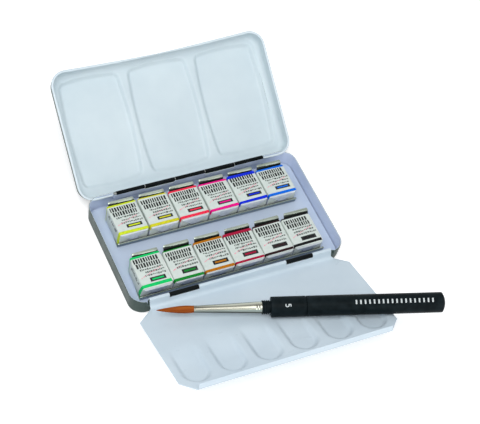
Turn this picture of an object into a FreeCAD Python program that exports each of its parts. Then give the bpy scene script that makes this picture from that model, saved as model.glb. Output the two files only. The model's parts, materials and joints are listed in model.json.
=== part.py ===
"""Watercolor pan set: a lacquered tin with a hinged lid, a fold-out palette leaf,
two spring clip rails, twelve wrapped half pans and a pocket brush.

Frame: +X runs along the rows of pans, +Y goes to the rear hinge, +Z is up.
The origin is the centre of the flat underside of the base. The set is shown
open: lid back on its stop, leaf out in front on its stop, brush on the leaf.
All sizes are in millimetres.
"""
import math
import os

import FreeCAD
import Part

V = FreeCAD.Vector

# ---------------------------------------------------------------- tin shells
SHEET = 0.45            # lacquered steel sheet
BASE_W = 125.0          # length of the rim, along the rows
BASE_D = 71.0           # depth of the rim, hinge side to leaf side
BASE_H = 10.5           # rim of the base above the table
LID_H = 8.4             # depth of the lid, rim to outside face
CORNER_R = 8.7          # plan radius of the four corners
DRAFT = 0.09            # slope of every pressed wall, mm per mm
FOOT_R = 2.8            # outside radius where wall and floor meet
RIM_GAP = 0.1           # gap between the closed rims

# ------------------------------------------------------------------- hinges
PIN_R = 0.55            # hinge wire
RUN = 0.05              # running clearance of knuckle on wire
BORE_R = PIN_R + RUN
KNUCKLE_R = BORE_R + SHEET
KNUCKLE_SIDE = 0.2      # side gap between neighbouring knuckles
KNUCKLE_FREE = 0.15     # radial room around a knuckle in the other sheet
STOP_GAP = 0.03         # what is left between two faces that stop a hinge

REAR_AXIS_IN = 1.2      # rear hinge axis, inboard of the rear wall
REAR_BARREL_L = 88.0    # length of the rear barrel
REAR_KNUCKLES = 5       # odd ones on the base, even ones on the lid
LID_OPEN = 147.0        # degrees from shut to the stop

FRONT_AXIS_IN = 1.8     # front hinge axis, inboard of the front wall
FRONT_AXIS_DROP = 1.1   # front hinge axis, below the rim
FRONT_KNUCKLE_L = 14.9  # length of the two front knuckles of the base
FRONT_KNUCKLE_X = 32.2  # their centres, either side of the middle
LEAF_OPEN = 163.0       # degrees from folded in to the stop

# ------------------------------------------------------------- palette leaf
LEAF_W = 121.0          # plate width
LEAF_L = 66.0           # hinge axis to far edge
NECK_W = 102.4          # width of the hinged neck
NECK_SIDE = 0.5         # gap between the neck and its recess in the base
NECK_H = 4.65           # hinge axis to the middle of the plate sheet
NECK_BEND = 1.2         # inside radius of the bend from neck to plate
NECK_ROOT = 1.4         # straight neck in front of the near chamfers
NEAR_CHAMFER_Y = 8.7
FAR_CHAMFER_X = 7.3
FAR_CHAMFER_Y = 7.7
LIP_H = 4.2             # turned-up far lip
THUMB_COUNT = 6
THUMB_PITCH = 19.6
THUMB_HALF_W = 7.9      # half width of a thumb well at its deep end
THUMB_DEPTH = 3.0
THUMB_L = 29.0          # deep end back to where the well fades out
THUMB_END = 6.0         # far edge of the plate to the round end of a well

# ---------------------------------------------------------------- lid wells
WELL_COUNT = 3
WELL_RIDGE = 1.6        # ridge between two wells, where it is narrowest
WELL_SIDE_IN = 3.9      # rim to the bulge of an outer well
WELL_FREE_IN = 4.9      # free rim to the ends of the wells
WELL_HINGE_IN = 6.7     # hinge side rim to their other ends
WELL_BOW = 1.75         # outward bow of the long sides
WELL_CORNER = 3.6
WELL_DEPTH = 2.0
WELL_SLOPE = 2.6        # plan width of the sloped wall of a well

# -------------------------------------------------------------- clip rails
LINER_FLOOR = 1.75      # floor of the moulded insert that carries the rails
LINER_T = 0.3           # its thin edge, turned up at the walls
LINER_GAP = 0.05        # play between its upturned edge and the walls
LINER_ROOM = 0.35       # its edge stays this far under the front shoulder
RAIL_T = 0.35           # bare spring steel
RAIL_L = 104.6
RAIL_LIP_H = 2.95       # lip in front of the pans, above the seat
RAIL_PLAY = 0.1         # play between a pan and its lip or tab
TAB_W = 13.9
TAB_FOOT = 1.0          # foot of a tab, behind the pan
TAB_PRESS = 0.6         # where the tab bears, as a share of the pan height
TAB_LEAN = 2.2          # how far the top of a tab leans back
TAB_OVER = 0.7          # top of a tab above the pan

# -------------------------------------------------------------------- pans
PANS_PER_ROW = 6
PAN_PITCH = 17.3
WRAP_W = 16.7           # wrapped half pan
WRAP_D = 18.1
WRAP_H = 9.85
WRAP_T = 0.3            # folded paper
WRAP_FRONT_R = 1.3      # soft top front edge
WRAP_EDGE_R = 0.35
PAN_FREE = 0.1          # pan inside its wrapper
PAN_H = 8.4
PAN_WALL = 0.9
PAINT_H = 6.2
REAR_ROW_IN = 19.4      # middle of a row from the rim behind or in front of it
FRONT_ROW_IN = 16.9

# ------------------------------------------------------------------- brush
HAIR_L = 18.8
HAIR_R = 1.8
HAIR_ROOT_L = 6.0
FERRULE_L = 34.3
FERRULE_R0 = 1.72
FERRULE_R1 = 3.03
FERRULE_STUB_R = 2.4
FERRULE_STUB_L = 3.4
COLLAR_L = 4.4
COLLAR_R = 3.6
COLLAR_RIBS = 3
RIB_GROOVE = 0.35
COLLAR_NECK_L = 0.7     # short plain neck before the grip
COLLAR_NECK_R = 3.05
GRIP_L = 18.1
HANDLE_R = 5.25
SPIGOT_L = 21.0
TUBE_L = 71.3
TUBE_WALL = 1.5
TUBE_END = 2.4
TUBE_DOME = 1.7         # how far its end is domed out
SOCKET_FREE = 0.02      # glued sockets of the brush
BRUSH_TURN = 21.0       # degrees from the rows, seen on the leaf
BRUSH_X = -51.6         # where the hair tip lies
BRUSH_S = 10.6          # hair tip from the leaf hinge, along the plate
BRUSH_FREE = 0.3        # air under the round handle

# --------------------------------------------------------- derived positions
PART_Z = BASE_H + RIM_GAP / 2
REAR_WALL = BASE_D / 2
REAR_Y = REAR_WALL - REAR_AXIS_IN
FRONT_Y = -BASE_D / 2 + FRONT_AXIS_IN
FRONT_Z = BASE_H - FRONT_AXIS_DROP
FLOOR_TOP = SHEET
LINER_TOP = FLOOR_TOP + LINER_FLOOR
SEAT_Z = LINER_TOP + RAIL_T
REAR_ROW_Y = BASE_D / 2 - REAR_ROW_IN
FRONT_ROW_Y = -BASE_D / 2 + FRONT_ROW_IN
WELL_W = (BASE_W - 2 * WELL_SIDE_IN - (WELL_COUNT - 1) * WELL_RIDGE) / WELL_COUNT
WELL_HALF_W = WELL_W / 2 - WELL_BOW     # at the ends of a well
WELL_HALF_L = (BASE_D - WELL_FREE_IN - WELL_HINGE_IN) / 2
WELL_Y = (WELL_FREE_IN - WELL_HINGE_IN) / 2
OVER = 1.0              # how far a cutting body runs past what it cuts


def box(x0, x1, y0, y1, z0, z1):
    """Box between the given limits."""
    return Part.makeBox(x1 - x0, y1 - y0, z1 - z0, V(x0, y0, z0))


def fuse(shapes):
    """One clean solid from several that touch or overlap."""
    body = shapes[0].multiFuse(shapes[1:]) if len(shapes) > 1 else shapes[0]
    body = body.removeSplitter()
    if body.ShapeType == "Compound" and len(body.Solids) == 1:
        body = body.Solids[0]
    return body


def export(shape, node):
    """Write one sub-part."""
    if shape.ShapeType == "Compound" and len(shape.Solids) == 1:
        shape = shape.Solids[0]
    shape.exportStep("parts/" + node + ".step")


def rounded_rect(half_w, half_d, radius, z):
    """Closed wire: a rectangle with round corners."""
    edges = []
    spots = [(1, -1, -90), (1, 1, 0), (-1, 1, 90), (-1, -1, 180)]
    arcs = []
    for sx, sy, start in spots:
        centre = V(sx * (half_w - radius), sy * (half_d - radius), z)
        a0 = math.radians(start)
        am = math.radians(start + 45)
        a1 = math.radians(start + 90)
        pts = [centre + V(radius * math.cos(a), radius * math.sin(a), 0) for a in (a0, am, a1)]
        arcs.append(pts)
    for i, pts in enumerate(arcs):
        edges.append(Part.Arc(pts[0], pts[1], pts[2]).toShape())
        edges.append(Part.LineSegment(pts[2], arcs[(i + 1) % 4][0]).toShape())
    return Part.Wire(edges)


def tray_form(inset, height, over, foot):
    """Solid form of a pressed tray that opens upward, its rim at z = height.

    inset moves every face inward by the sheet; over carries the form above the rim.
    """
    half_w = BASE_W / 2 - inset
    half_d = BASE_D / 2 - inset
    radius = CORNER_R - inset
    grow = DRAFT * over
    shrink = DRAFT * (height - inset)
    top = rounded_rect(half_w + grow, half_d + grow, radius + grow, height + over)
    low = rounded_rect(half_w - shrink, half_d - shrink, radius - shrink, inset)
    form = Part.makeLoft([low, top], True, True)
    floor_edges = [
        e for e in form.Edges if all(abs(v.Z - inset) < 1e-6 for v in e.Vertexes)
    ]
    return form.makeFillet(foot, floor_edges)


def rear_shoulder_depth():
    """Rim to the rear shoulder, so both shoulders meet when the lid is fully open."""
    slope = math.tan(math.radians(LID_OPEN / 2))
    return slope * REAR_AXIS_IN / (1 + DRAFT * slope) + STOP_GAP


def front_shoulder_z():
    """Height of the front shoulder, where the neck of the open leaf comes to rest."""
    turn = math.radians(LEAF_OPEN)
    sin_t, cos_t = math.sin(turn), math.cos(turn)
    reach = BASE_D / 2 - DRAFT * BASE_H + FRONT_Y
    # neck face: out = -(b cos - s sin), up = b sin + s cos, with b the bore radius
    along = (reach + DRAFT * (FRONT_Z + BORE_R * sin_t) + BORE_R * cos_t + STOP_GAP)
    along /= sin_t - DRAFT * cos_t
    return FRONT_Z + BORE_R * sin_t + along * cos_t


def knuckle(x0, x1, y, z):
    """Rolled knuckle: a short tube around the hinge wire."""
    spot = V(x0, y, z)
    tube = Part.makeCylinder(KNUCKLE_R, x1 - x0, spot, V(1, 0, 0))
    return tube.cut(Part.makeCylinder(BORE_R, x1 - x0, spot, V(1, 0, 0)))


def rear_spans():
    """X limits of the rear knuckles, left to right."""
    step = REAR_BARREL_L / REAR_KNUCKLES
    spans = []
    for i in range(REAR_KNUCKLES):
        x0 = -REAR_BARREL_L / 2 + i * step
        spans.append((x0 + KNUCKLE_SIDE / 2, x0 + step - KNUCKLE_SIDE / 2))
    return spans


def front_spans():
    """X limits of the front knuckles of the base and of the leaf."""
    half = FRONT_KNUCKLE_L / 2
    base = [(s * FRONT_KNUCKLE_X - half, s * FRONT_KNUCKLE_X + half) for s in (-1, 1)]
    gap = KNUCKLE_SIDE
    leaf = [
        (-NECK_W / 2, base[0][0] - gap),
        (base[0][1] + gap, base[1][0] - gap),
        (base[1][1] + gap, NECK_W / 2),
    ]
    return base, leaf


def rear_hinged(shell, own, other):
    """Add the own knuckles to a shell that opens upward and clear the other ones.

    The shell's rim is at PART_Z - RIM_GAP / 2 and its rear wall is stepped in, so
    that its sheet meets the barrel on the inboard side.
    """
    face_in = REAR_Y - KNUCKLE_R
    face_out = REAR_Y - BORE_R
    for x0, x1 in other:
        shell = shell.cut(box(x0 - KNUCKLE_SIDE, x1 + KNUCKLE_SIDE, face_in - OVER / 2,
                              REAR_Y + KNUCKLE_R, PART_Z - KNUCKLE_R - KNUCKLE_FREE,
                              PART_Z + OVER))
    pieces = [shell]
    for x0, x1 in own:
        pieces.append(box(x0, x1, face_in, face_out, BASE_H - OVER, PART_Z))
        pieces.append(knuckle(x0, x1, REAR_Y, PART_Z))
    return fuse(pieces)


def tray_shell(height, front_recess, wells):
    """A pressed shell that opens upward, rim at z = height, before its knuckles."""
    step_depth = rear_shoulder_depth() - RIM_GAP / 2
    far = BASE_W
    outer = tray_form(0.0, height, 0.0, FOOT_R)
    inner = tray_form(SHEET, height, OVER, FOOT_R - SHEET)
    z_step = height - step_depth
    outer = outer.cut(box(-far, far, REAR_Y - BORE_R, far, z_step, height + OVER))
    inner = inner.cut(box(-far, far, REAR_Y - KNUCKLE_R, far, z_step - SHEET,
                          height + 2 * OVER))
    if front_recess:
        half = NECK_W / 2 + NECK_SIDE
        z_front = front_shoulder_z()
        outer = outer.cut(box(-half, half, -far, FRONT_Y + BORE_R, z_front, height + OVER))
        inner = inner.cut(box(-half - SHEET, half + SHEET, -far, FRONT_Y + KNUCKLE_R,
                              z_front - SHEET, height + 2 * OVER))
    if wells:
        outer = fuse([outer] + [well_form(i, SHEET, 0.0) for i in range(WELL_COUNT)])
        inner = fuse([inner] + [well_form(i, 0.0, SHEET) for i in range(WELL_COUNT)])
    return outer.cut(inner)


def bowed_rect(half_w, half_l, bow, radius, cx, cy, z):
    """Closed wire: straight ends, long sides bowed outward, round corners."""
    flat = half_w - radius
    side = half_l - radius
    nip = radius * (1 - math.sqrt(0.5))

    def at(x, y):
        return V(cx + x, cy + y, z)

    edges = []
    for turn in (1, -1):
        a = at(-turn * flat, -turn * half_l)
        b = at(turn * flat, -turn * half_l)
        c = at(turn * half_w, -turn * side)
        d = at(turn * half_w, turn * side)
        e = at(turn * flat, turn * half_l)
        edges.append(Part.LineSegment(a, b).toShape())
        corner = at(turn * (half_w - nip), -turn * (half_l - nip))
        edges.append(Part.Arc(b, corner, c).toShape())
        edges.append(Part.Arc(c, at(turn * (half_w + bow), 0), d).toShape())
        corner = at(turn * (half_w - nip), turn * (half_l - nip))
        edges.append(Part.Arc(d, corner, e).toShape())
    return Part.Wire(edges)


def well_form(index, grow, lift):
    """One mixing well of the lid, pressed downward through a floor at z = 0."""
    cx = (index - (WELL_COUNT - 1) / 2) * (WELL_W + WELL_RIDGE)
    rise = SHEET
    rate = WELL_SLOPE / WELL_DEPTH
    wires = []
    for z, inset in ((lift + rise, -rate * rise), (lift - WELL_DEPTH, WELL_SLOPE)):
        wires.append(bowed_rect(WELL_HALF_W + grow - inset, WELL_HALF_L + grow - inset,
                                WELL_BOW, WELL_CORNER + grow - inset / 2, cx, WELL_Y, z))
    return Part.makeLoft(wires, True, True)


def base_tray():
    """Base: black outside, white inside, with its knuckles for lid and leaf."""
    shell = tray_shell(BASE_H, True, False)
    spans = rear_spans()
    shell = rear_hinged(shell, spans[0::2], spans[1::2])
    base_k, leaf_k = front_spans()
    y_in = FRONT_Y + KNUCKLE_R
    y_out = FRONT_Y + BORE_R
    half = NECK_W / 2 + NECK_SIDE
    shell = shell.cut(box(-half, half, y_out - OVER / 2, y_in + OVER / 2, FRONT_Z,
                          BASE_H + OVER))
    low = FRONT_Z - KNUCKLE_R - KNUCKLE_FREE
    for x0, x1 in leaf_k:
        a = -half if x0 == -NECK_W / 2 else x0 - KNUCKLE_SIDE
        b = half if x1 == NECK_W / 2 else x1 + KNUCKLE_SIDE
        shell = shell.cut(box(a, b, y_out - OVER / 2, y_in + OVER / 2, low, BASE_H + OVER))
    pieces = [shell]
    for x0, x1 in base_k:
        pieces.append(box(x0, x1, y_out, y_in, low - OVER, FRONT_Z))
        pieces.append(knuckle(x0, x1, FRONT_Y, FRONT_Z))
    return fuse(pieces)


def shut_lid():
    """Lid in its shut place."""
    shell = tray_shell(LID_H, False, True)
    shell = shell.mirror(V(0, 0, 0), V(0, 0, 1))
    shell.translate(V(0, 0, BASE_H + RIM_GAP + LID_H))
    # turn it over once more for the knuckles, which are written for a shell below
    shell = shell.mirror(V(0, 0, PART_Z), V(0, 0, 1))
    spans = rear_spans()
    shell = rear_hinged(shell, spans[1::2], spans[0::2])
    return shell.mirror(V(0, 0, PART_Z), V(0, 0, 1))


def lid():
    """Lid, laid back on its stop."""
    body = shut_lid()
    body.rotate(V(0, REAR_Y, PART_Z), V(-1, 0, 0), LID_OPEN)
    return body


def thumb_well(index, radius):
    """One thumb well of the folded leaf: a tilted trough with a round deep end."""
    depth_r = (THUMB_HALF_W ** 2 + THUMB_DEPTH ** 2) / (2 * THUMB_DEPTH)
    x = (index - (THUMB_COUNT - 1) / 2) * THUMB_PITCH
    under = NECK_H - SHEET / 2
    y_ball = LEAF_L - THUMB_END - THUMB_HALF_W
    centre = V(x, y_ball, under + THUMB_DEPTH - depth_r)
    tilt = math.atan2(THUMB_DEPTH, THUMB_L - THUMB_HALF_W)
    back = V(0, -math.cos(tilt), -math.sin(tilt))
    ball = Part.makeSphere(depth_r + radius, centre)
    trough = Part.makeCylinder(depth_r + radius, 1.4 * THUMB_L, centre, back)
    return ball.fuse(trough)


def folded_leaf():
    """Leaf folded in over the pans, hinge axis at the origin."""
    base_k, leaf_k = front_spans()
    under = NECK_H - SHEET / 2
    top = NECK_H + SHEET / 2
    bend = NECK_BEND + SHEET
    # neck, bend and plate as one bent strip, seen from the side
    mid = BORE_R + SHEET / 2
    y_flat = BORE_R + bend
    z_bend = top - bend
    c45 = math.sqrt(0.5)
    outer_mid = V(0, y_flat - bend * c45, z_bend + bend * c45)
    inner_mid = V(0, y_flat - NECK_BEND * c45, z_bend + NECK_BEND * c45)
    side = Part.Wire([
        Part.LineSegment(V(0, BORE_R, 0), V(0, BORE_R, z_bend)).toShape(),
        Part.Arc(V(0, BORE_R, z_bend), outer_mid, V(0, y_flat, top)).toShape(),
        Part.LineSegment(V(0, y_flat, top), V(0, LEAF_L, top)).toShape(),
        Part.LineSegment(V(0, LEAF_L, top), V(0, LEAF_L, under)).toShape(),
        Part.LineSegment(V(0, LEAF_L, under), V(0, y_flat, under)).toShape(),
        Part.Arc(V(0, y_flat, under), inner_mid, V(0, KNUCKLE_R, z_bend)).toShape(),
        Part.LineSegment(V(0, KNUCKLE_R, z_bend), V(0, KNUCKLE_R, 0)).toShape(),
        Part.LineSegment(V(0, KNUCKLE_R, 0), V(0, BORE_R, 0)).toShape(),
    ])
    strip = Part.Face(side).extrude(V(LEAF_W, 0, 0))
    strip.translate(V(-LEAF_W / 2, 0, 0))
    root = mid + NECK_ROOT
    outline = [
        (-NECK_W / 2, -OVER), (-NECK_W / 2, root),
        (-LEAF_W / 2, root + NEAR_CHAMFER_Y), (-LEAF_W / 2, LEAF_L - FAR_CHAMFER_Y),
        (-LEAF_W / 2 + FAR_CHAMFER_X, LEAF_L), (LEAF_W / 2 - FAR_CHAMFER_X, LEAF_L),
        (LEAF_W / 2, LEAF_L - FAR_CHAMFER_Y), (LEAF_W / 2, root + NEAR_CHAMFER_Y),
        (NECK_W / 2, root), (NECK_W / 2, -OVER),
    ]
    pts = [V(x, y, -OVER) for x, y in outline]
    plan = Part.Face(Part.makePolygon(pts + [pts[0]])).extrude(V(0, 0, NECK_H + 2 * OVER))
    leaf = strip.common(plan)
    for x0, x1 in base_k:
        leaf = leaf.cut(box(x0 - KNUCKLE_SIDE, x1 + KNUCKLE_SIDE, -OVER, KNUCKLE_R + OVER,
                            -OVER, KNUCKLE_R + KNUCKLE_FREE))
    lip_half = LEAF_W / 2 - FAR_CHAMFER_X
    pieces = [leaf, box(-lip_half, lip_half, LEAF_L - SHEET, LEAF_L, top - LIP_H, top)]
    for x0, x1 in leaf_k:
        pieces.append(knuckle(x0, x1, 0, 0))
    above = box(-LEAF_W, LEAF_W, 0, LEAF_L - SHEET, NECK_H, NECK_H + 4 * THUMB_DEPTH)
    for i in range(THUMB_COUNT):
        pieces.append(thumb_well(i, SHEET).common(above))
    leaf = fuse(pieces)
    for i in range(THUMB_COUNT):
        leaf = leaf.cut(thumb_well(i, 0.0).common(
            box(-LEAF_W, LEAF_W, 0, LEAF_L - SHEET, under - OVER, under + 4 * THUMB_DEPTH)))
    return leaf


def palette_leaf():
    """Leaf out in front on its stop."""
    body = folded_leaf()
    body.rotate(V(0, 0, 0), V(1, 0, 0), LEAF_OPEN)
    body.translate(V(0, FRONT_Y, FRONT_Z))
    return body


def floor_liner():
    """Insert that lies on the floor of the base and turns up at the walls."""
    inset = SHEET + LINER_GAP
    far = BASE_W
    outer = tray_form(inset, BASE_H, 0.0, FOOT_R)
    inner = tray_form(inset + LINER_T, BASE_H, OVER, FOOT_R - LINER_T)
    inner.translate(V(0, 0, LINER_FLOOR - LINER_T))
    dish = outer.cut(inner)
    dish.translate(V(0, 0, -LINER_GAP))
    top = front_shoulder_z() - SHEET - LINER_ROOM
    return dish.cut(box(-far, far, -far, far, top, BASE_H + 2 * OVER))


def strip_face(points, thickness):
    """Cross section of bent sheet: points run along its inner face, in Y and Z."""
    count = len(points)
    normals = []
    for (y0, z0), (y1, z1) in zip(points, points[1:]):
        length = math.hypot(y1 - y0, z1 - z0)
        normals.append(((z1 - z0) / length, -(y1 - y0) / length))
    back = []
    for i, (y, z) in enumerate(points):
        a = normals[max(i - 1, 0)]
        b = normals[min(i, count - 2)]
        ny, nz = a[0] + b[0], a[1] + b[1]
        scale = 2 * thickness / (ny * ny + nz * nz)
        back.append((y + ny * scale, z + nz * scale))
    ring = [V(0, y, z) for y, z in points] + [V(0, y, z) for y, z in reversed(back)]
    return Part.Face(Part.makePolygon(ring + [ring[0]]))


def clip_rail(row_y):
    """Spring rail: low lip in front of a row, one leaning tab behind each pan."""
    y_front = row_y - WRAP_D / 2 - RAIL_PLAY
    y_back = row_y + WRAP_D / 2 + RAIL_PLAY
    lip = (y_front, SEAT_Z + RAIL_LIP_H)
    heel = (y_front, SEAT_Z)
    foot = (y_back + TAB_FOOT, SEAT_Z)
    press = (y_back, SEAT_Z + TAB_PRESS * WRAP_H)
    tip = (y_back + TAB_LEAN, SEAT_Z + WRAP_H + TAB_OVER)
    # the sheet lies in front of the lip, under the seat and behind the tabs
    strip = strip_face([lip, heel, foot], RAIL_T).extrude(V(RAIL_L, 0, 0))
    strip.translate(V(-RAIL_L / 2, 0, 0))
    pieces = [strip]
    for i in range(PANS_PER_ROW):
        x = (i - (PANS_PER_ROW - 1) / 2) * PAN_PITCH
        tab = strip_face([heel, foot, press, tip], RAIL_T).extrude(V(TAB_W, 0, 0))
        tab.translate(V(x - TAB_W / 2, 0, 0))
        pieces.append(tab)
    return fuse(pieces)


def edges_near(shape, test):
    """Edges of a shape whose two ends pass a test."""
    return [e for e in shape.Edges if len(e.Vertexes) == 2 and all(test(v) for v in e.Vertexes)]


def wrapped_pan(x, row_y):
    """Paper parcel, plastic half pan and cake of paint of one refill."""
    x0, x1 = x - WRAP_W / 2, x + WRAP_W / 2
    y0, y1 = row_y - WRAP_D / 2, row_y + WRAP_D / 2
    z0, z1 = SEAT_Z, SEAT_Z + WRAP_H
    parcel = box(x0, x1, y0, y1, z0, z1)
    front = edges_near(parcel, lambda v: abs(v.Y - y0) < 1e-6 and abs(v.Z - z1) < 1e-6)
    parcel = parcel.makeFillet(WRAP_FRONT_R, front)
    uprights = [e for e in parcel.Edges if e.Length > 1 and
                abs(e.tangentAt(e.FirstParameter).z) > 0.999 and e.Curve.TypeId ==
                "Part::GeomLine"]
    parcel = parcel.makeFillet(WRAP_EDGE_R, uprights)
    hollow = box(x0 + WRAP_T, x1 - WRAP_T, y0 + WRAP_T, y1 - WRAP_T, z0 + WRAP_T,
                 z1 - WRAP_T)
    inner_front = edges_near(hollow, lambda v: abs(v.Y - y0 - WRAP_T) < 1e-6
                             and abs(v.Z - z1 + WRAP_T) < 1e-6)
    hollow = hollow.makeFillet(WRAP_FRONT_R - WRAP_T, inner_front)
    wrapper = parcel.cut(hollow)
    gap = WRAP_T + PAN_FREE
    cup = box(x0 + gap, x1 - gap, y0 + gap, y1 - gap, z0 + WRAP_T, z0 + WRAP_T + PAN_H)
    wall = gap + PAN_WALL
    z_paint = z0 + WRAP_T + PAN_WALL
    pit = box(x0 + wall, x1 - wall, y0 + wall, y1 - wall, z_paint,
              z0 + WRAP_T + PAN_H + OVER)
    paint = box(x0 + wall, x1 - wall, y0 + wall, y1 - wall, z_paint, z_paint + PAINT_H)
    return wrapper, cup.cut(pit), paint


def hinge_wire(half, y, z):
    """Wire pin along X."""
    return Part.makeCylinder(PIN_R, 2 * half, V(-half, y, z), V(1, 0, 0))


def turned(points):
    """Solid of revolution about +Z from (radius, height) points."""
    ring = [V(r, 0, z) for r, z in points]
    return Part.Face(Part.makePolygon(ring + [ring[0]])).revolve(V(0, 0, 0), V(0, 0, 1), 360)


def hair_tuft():
    """Pointed tuft with its root in the ferrule, tip at the origin, along +Z."""
    shape = [(0.012, 0.0), (0.34, 0.16), (0.66, 0.38), (0.92, 0.66), (1.0, 0.84),
             (FERRULE_R0 * 0.97 / HAIR_R, 1.0)]
    curve = Part.BSplineCurve()
    curve.interpolate([V(HAIR_R * r, 0, HAIR_L * z) for r, z in shape])
    r_root = FERRULE_R0 * 0.8
    z_root = HAIR_L + HAIR_ROOT_L
    first = V(HAIR_R * shape[0][0], 0, 0)
    last = V(HAIR_R * shape[-1][0], 0, HAIR_L)
    wire = Part.Wire([
        Part.LineSegment(V(0, 0, 0), first).toShape(),
        curve.toShape(),
        Part.LineSegment(last, V(r_root, 0, HAIR_L)).toShape(),
        Part.LineSegment(V(r_root, 0, HAIR_L), V(r_root, 0, z_root)).toShape(),
        Part.LineSegment(V(r_root, 0, z_root), V(0, 0, z_root)).toShape(),
        Part.LineSegment(V(0, 0, z_root), V(0, 0, 0)).toShape(),
    ])
    return Part.Face(wire).revolve(V(0, 0, 0), V(0, 0, 1), 360)


def brush_pieces():
    """The pocket brush along +Z, hair tip at the origin."""
    z1 = HAIR_L
    z2 = z1 + FERRULE_L
    z3 = z2 + COLLAR_L
    z4 = z3 + GRIP_L
    socket = FERRULE_R0 * 0.8 + SOCKET_FREE
    ferrule = turned([
        (socket, z1), (FERRULE_R0, z1), (FERRULE_R1, z2), (FERRULE_STUB_R, z2),
        (FERRULE_STUB_R, z2 + FERRULE_STUB_L), (0, z2 + FERRULE_STUB_L),
        (0, z1 + HAIR_ROOT_L + SOCKET_FREE), (socket, z1 + HAIR_ROOT_L + SOCKET_FREE),
    ])
    z_neck = z3 - COLLAR_NECK_L
    rib = (z_neck - z2) / (2 * COLLAR_RIBS + 1)
    bore = FERRULE_STUB_R + SOCKET_FREE
    outline = [(bore, z2), (COLLAR_R, z2)]
    for i in range(COLLAR_RIBS):
        a = z2 + (2 * i + 1) * rib
        outline += [(COLLAR_R, a), (COLLAR_R - RIB_GROOVE, a),
                    (COLLAR_R - RIB_GROOVE, a + rib), (COLLAR_R, a + rib)]
    outline += [(COLLAR_R, z_neck), (COLLAR_NECK_R, z_neck), (COLLAR_NECK_R, z3), (0, z3),
                (0, z2 + FERRULE_STUB_L + SOCKET_FREE),
                (bore, z2 + FERRULE_STUB_L + SOCKET_FREE)]
    collar = turned(outline)
    tube_bore = HANDLE_R - TUBE_WALL
    spigot = tube_bore - RUN
    grip = turned([(0, z3), (HANDLE_R, z3), (HANDLE_R, z4), (spigot, z4),
                   (spigot, z4 + SPIGOT_L), (0, z4 + SPIGOT_L)])
    z5 = z4 + TUBE_L
    dome_r = (HANDLE_R ** 2 + TUBE_DOME ** 2) / (2 * TUBE_DOME)
    dome = Part.makeSphere(dome_r, V(0, 0, z5 - dome_r)).common(
        Part.makeCylinder(HANDLE_R, TUBE_DOME, V(0, 0, z5 - TUBE_DOME)))
    tube = fuse([Part.makeCylinder(HANDLE_R, TUBE_L - TUBE_DOME, V(0, 0, z4)), dome])
    tube = tube.cut(Part.makeCylinder(tube_bore, TUBE_L - TUBE_END, V(0, 0, z4)))
    return {"brush_hair": hair_tuft(), "brush_ferrule": ferrule, "brush_collar": collar,
            "brush_grip": grip, "brush_tube": tube}


def brush_axis():
    """Hair tip and direction of the brush as it lies on the open leaf."""
    turn = FreeCAD.Rotation(V(1, 0, 0), LEAF_OPEN)
    height = NECK_H - SHEET / 2 - HANDLE_R - BRUSH_FREE
    tip = turn.multVec(V(BRUSH_X, BRUSH_S, height)) + V(0, FRONT_Y, FRONT_Z)
    angle = math.radians(BRUSH_TURN)
    way = turn.multVec(V(math.cos(angle), math.sin(angle), 0))
    return tip, way


def main():
    """Build and write every sub-part."""
    os.makedirs("parts", exist_ok=True)
    export(base_tray(), "base_tray")
    export(lid(), "lid")
    export(palette_leaf(), "palette_leaf")
    export(floor_liner(), "floor_liner")
    export(clip_rail(REAR_ROW_Y), "rear_clip_rail")
    export(clip_rail(FRONT_ROW_Y), "front_clip_rail")
    export(hinge_wire(REAR_BARREL_L / 2, REAR_Y, PART_Z), "rear_hinge_pin")
    export(hinge_wire(NECK_W / 2, FRONT_Y, FRONT_Z), "front_hinge_pin")
    number = 0
    for row_y in (REAR_ROW_Y, FRONT_ROW_Y):
        for i in range(PANS_PER_ROW):
            number += 1
            x = (i - (PANS_PER_ROW - 1) / 2) * PAN_PITCH
            wrapper, cup, paint = wrapped_pan(x, row_y)
            export(wrapper, "wrapper_%02d" % number)
            export(cup, "half_pan_%02d" % number)
            export(paint, "paint_%02d" % number)
    tip, way = brush_axis()
    place = FreeCAD.Placement(tip, FreeCAD.Rotation(V(0, 0, 1), way))
    for node, shape in brush_pieces().items():
        shape.Placement = place.multiply(shape.Placement)
        export(shape, node)


main()
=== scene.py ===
"""Looks of the watercolor pan set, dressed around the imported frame. Sizes in mm."""
import json
import random
from math import asin, atan, cos, dist, hypot, pi, radians, sin, sqrt

import bmesh
import bpy
from mathutils import Matrix, Vector
from numpy import arange, array, cumsum, interp, linspace, vstack
from numpy.linalg import norm


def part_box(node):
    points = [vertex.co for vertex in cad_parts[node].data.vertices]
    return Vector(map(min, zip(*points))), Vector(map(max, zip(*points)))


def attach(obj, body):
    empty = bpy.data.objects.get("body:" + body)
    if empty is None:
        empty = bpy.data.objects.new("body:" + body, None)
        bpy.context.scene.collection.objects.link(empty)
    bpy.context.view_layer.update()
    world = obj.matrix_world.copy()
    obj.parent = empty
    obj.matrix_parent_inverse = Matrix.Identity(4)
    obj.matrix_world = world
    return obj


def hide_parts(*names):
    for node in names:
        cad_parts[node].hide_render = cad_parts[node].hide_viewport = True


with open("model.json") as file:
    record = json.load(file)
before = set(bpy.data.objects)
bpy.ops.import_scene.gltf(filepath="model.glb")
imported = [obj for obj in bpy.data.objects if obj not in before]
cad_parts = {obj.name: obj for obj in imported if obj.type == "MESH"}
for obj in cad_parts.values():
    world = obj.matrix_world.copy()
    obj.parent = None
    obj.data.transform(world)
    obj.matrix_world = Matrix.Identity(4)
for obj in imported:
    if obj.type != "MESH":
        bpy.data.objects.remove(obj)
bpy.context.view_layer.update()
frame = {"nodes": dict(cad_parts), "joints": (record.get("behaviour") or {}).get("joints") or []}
NODES = frame["nodes"]
JOINTS = {j["name"]: j for j in frame["joints"]}


def span(node):
    """Lowest and highest corner of a CAD node, in mm."""
    lo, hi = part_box(node)
    return array(lo) * 1000, array(hi) * 1000


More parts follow.
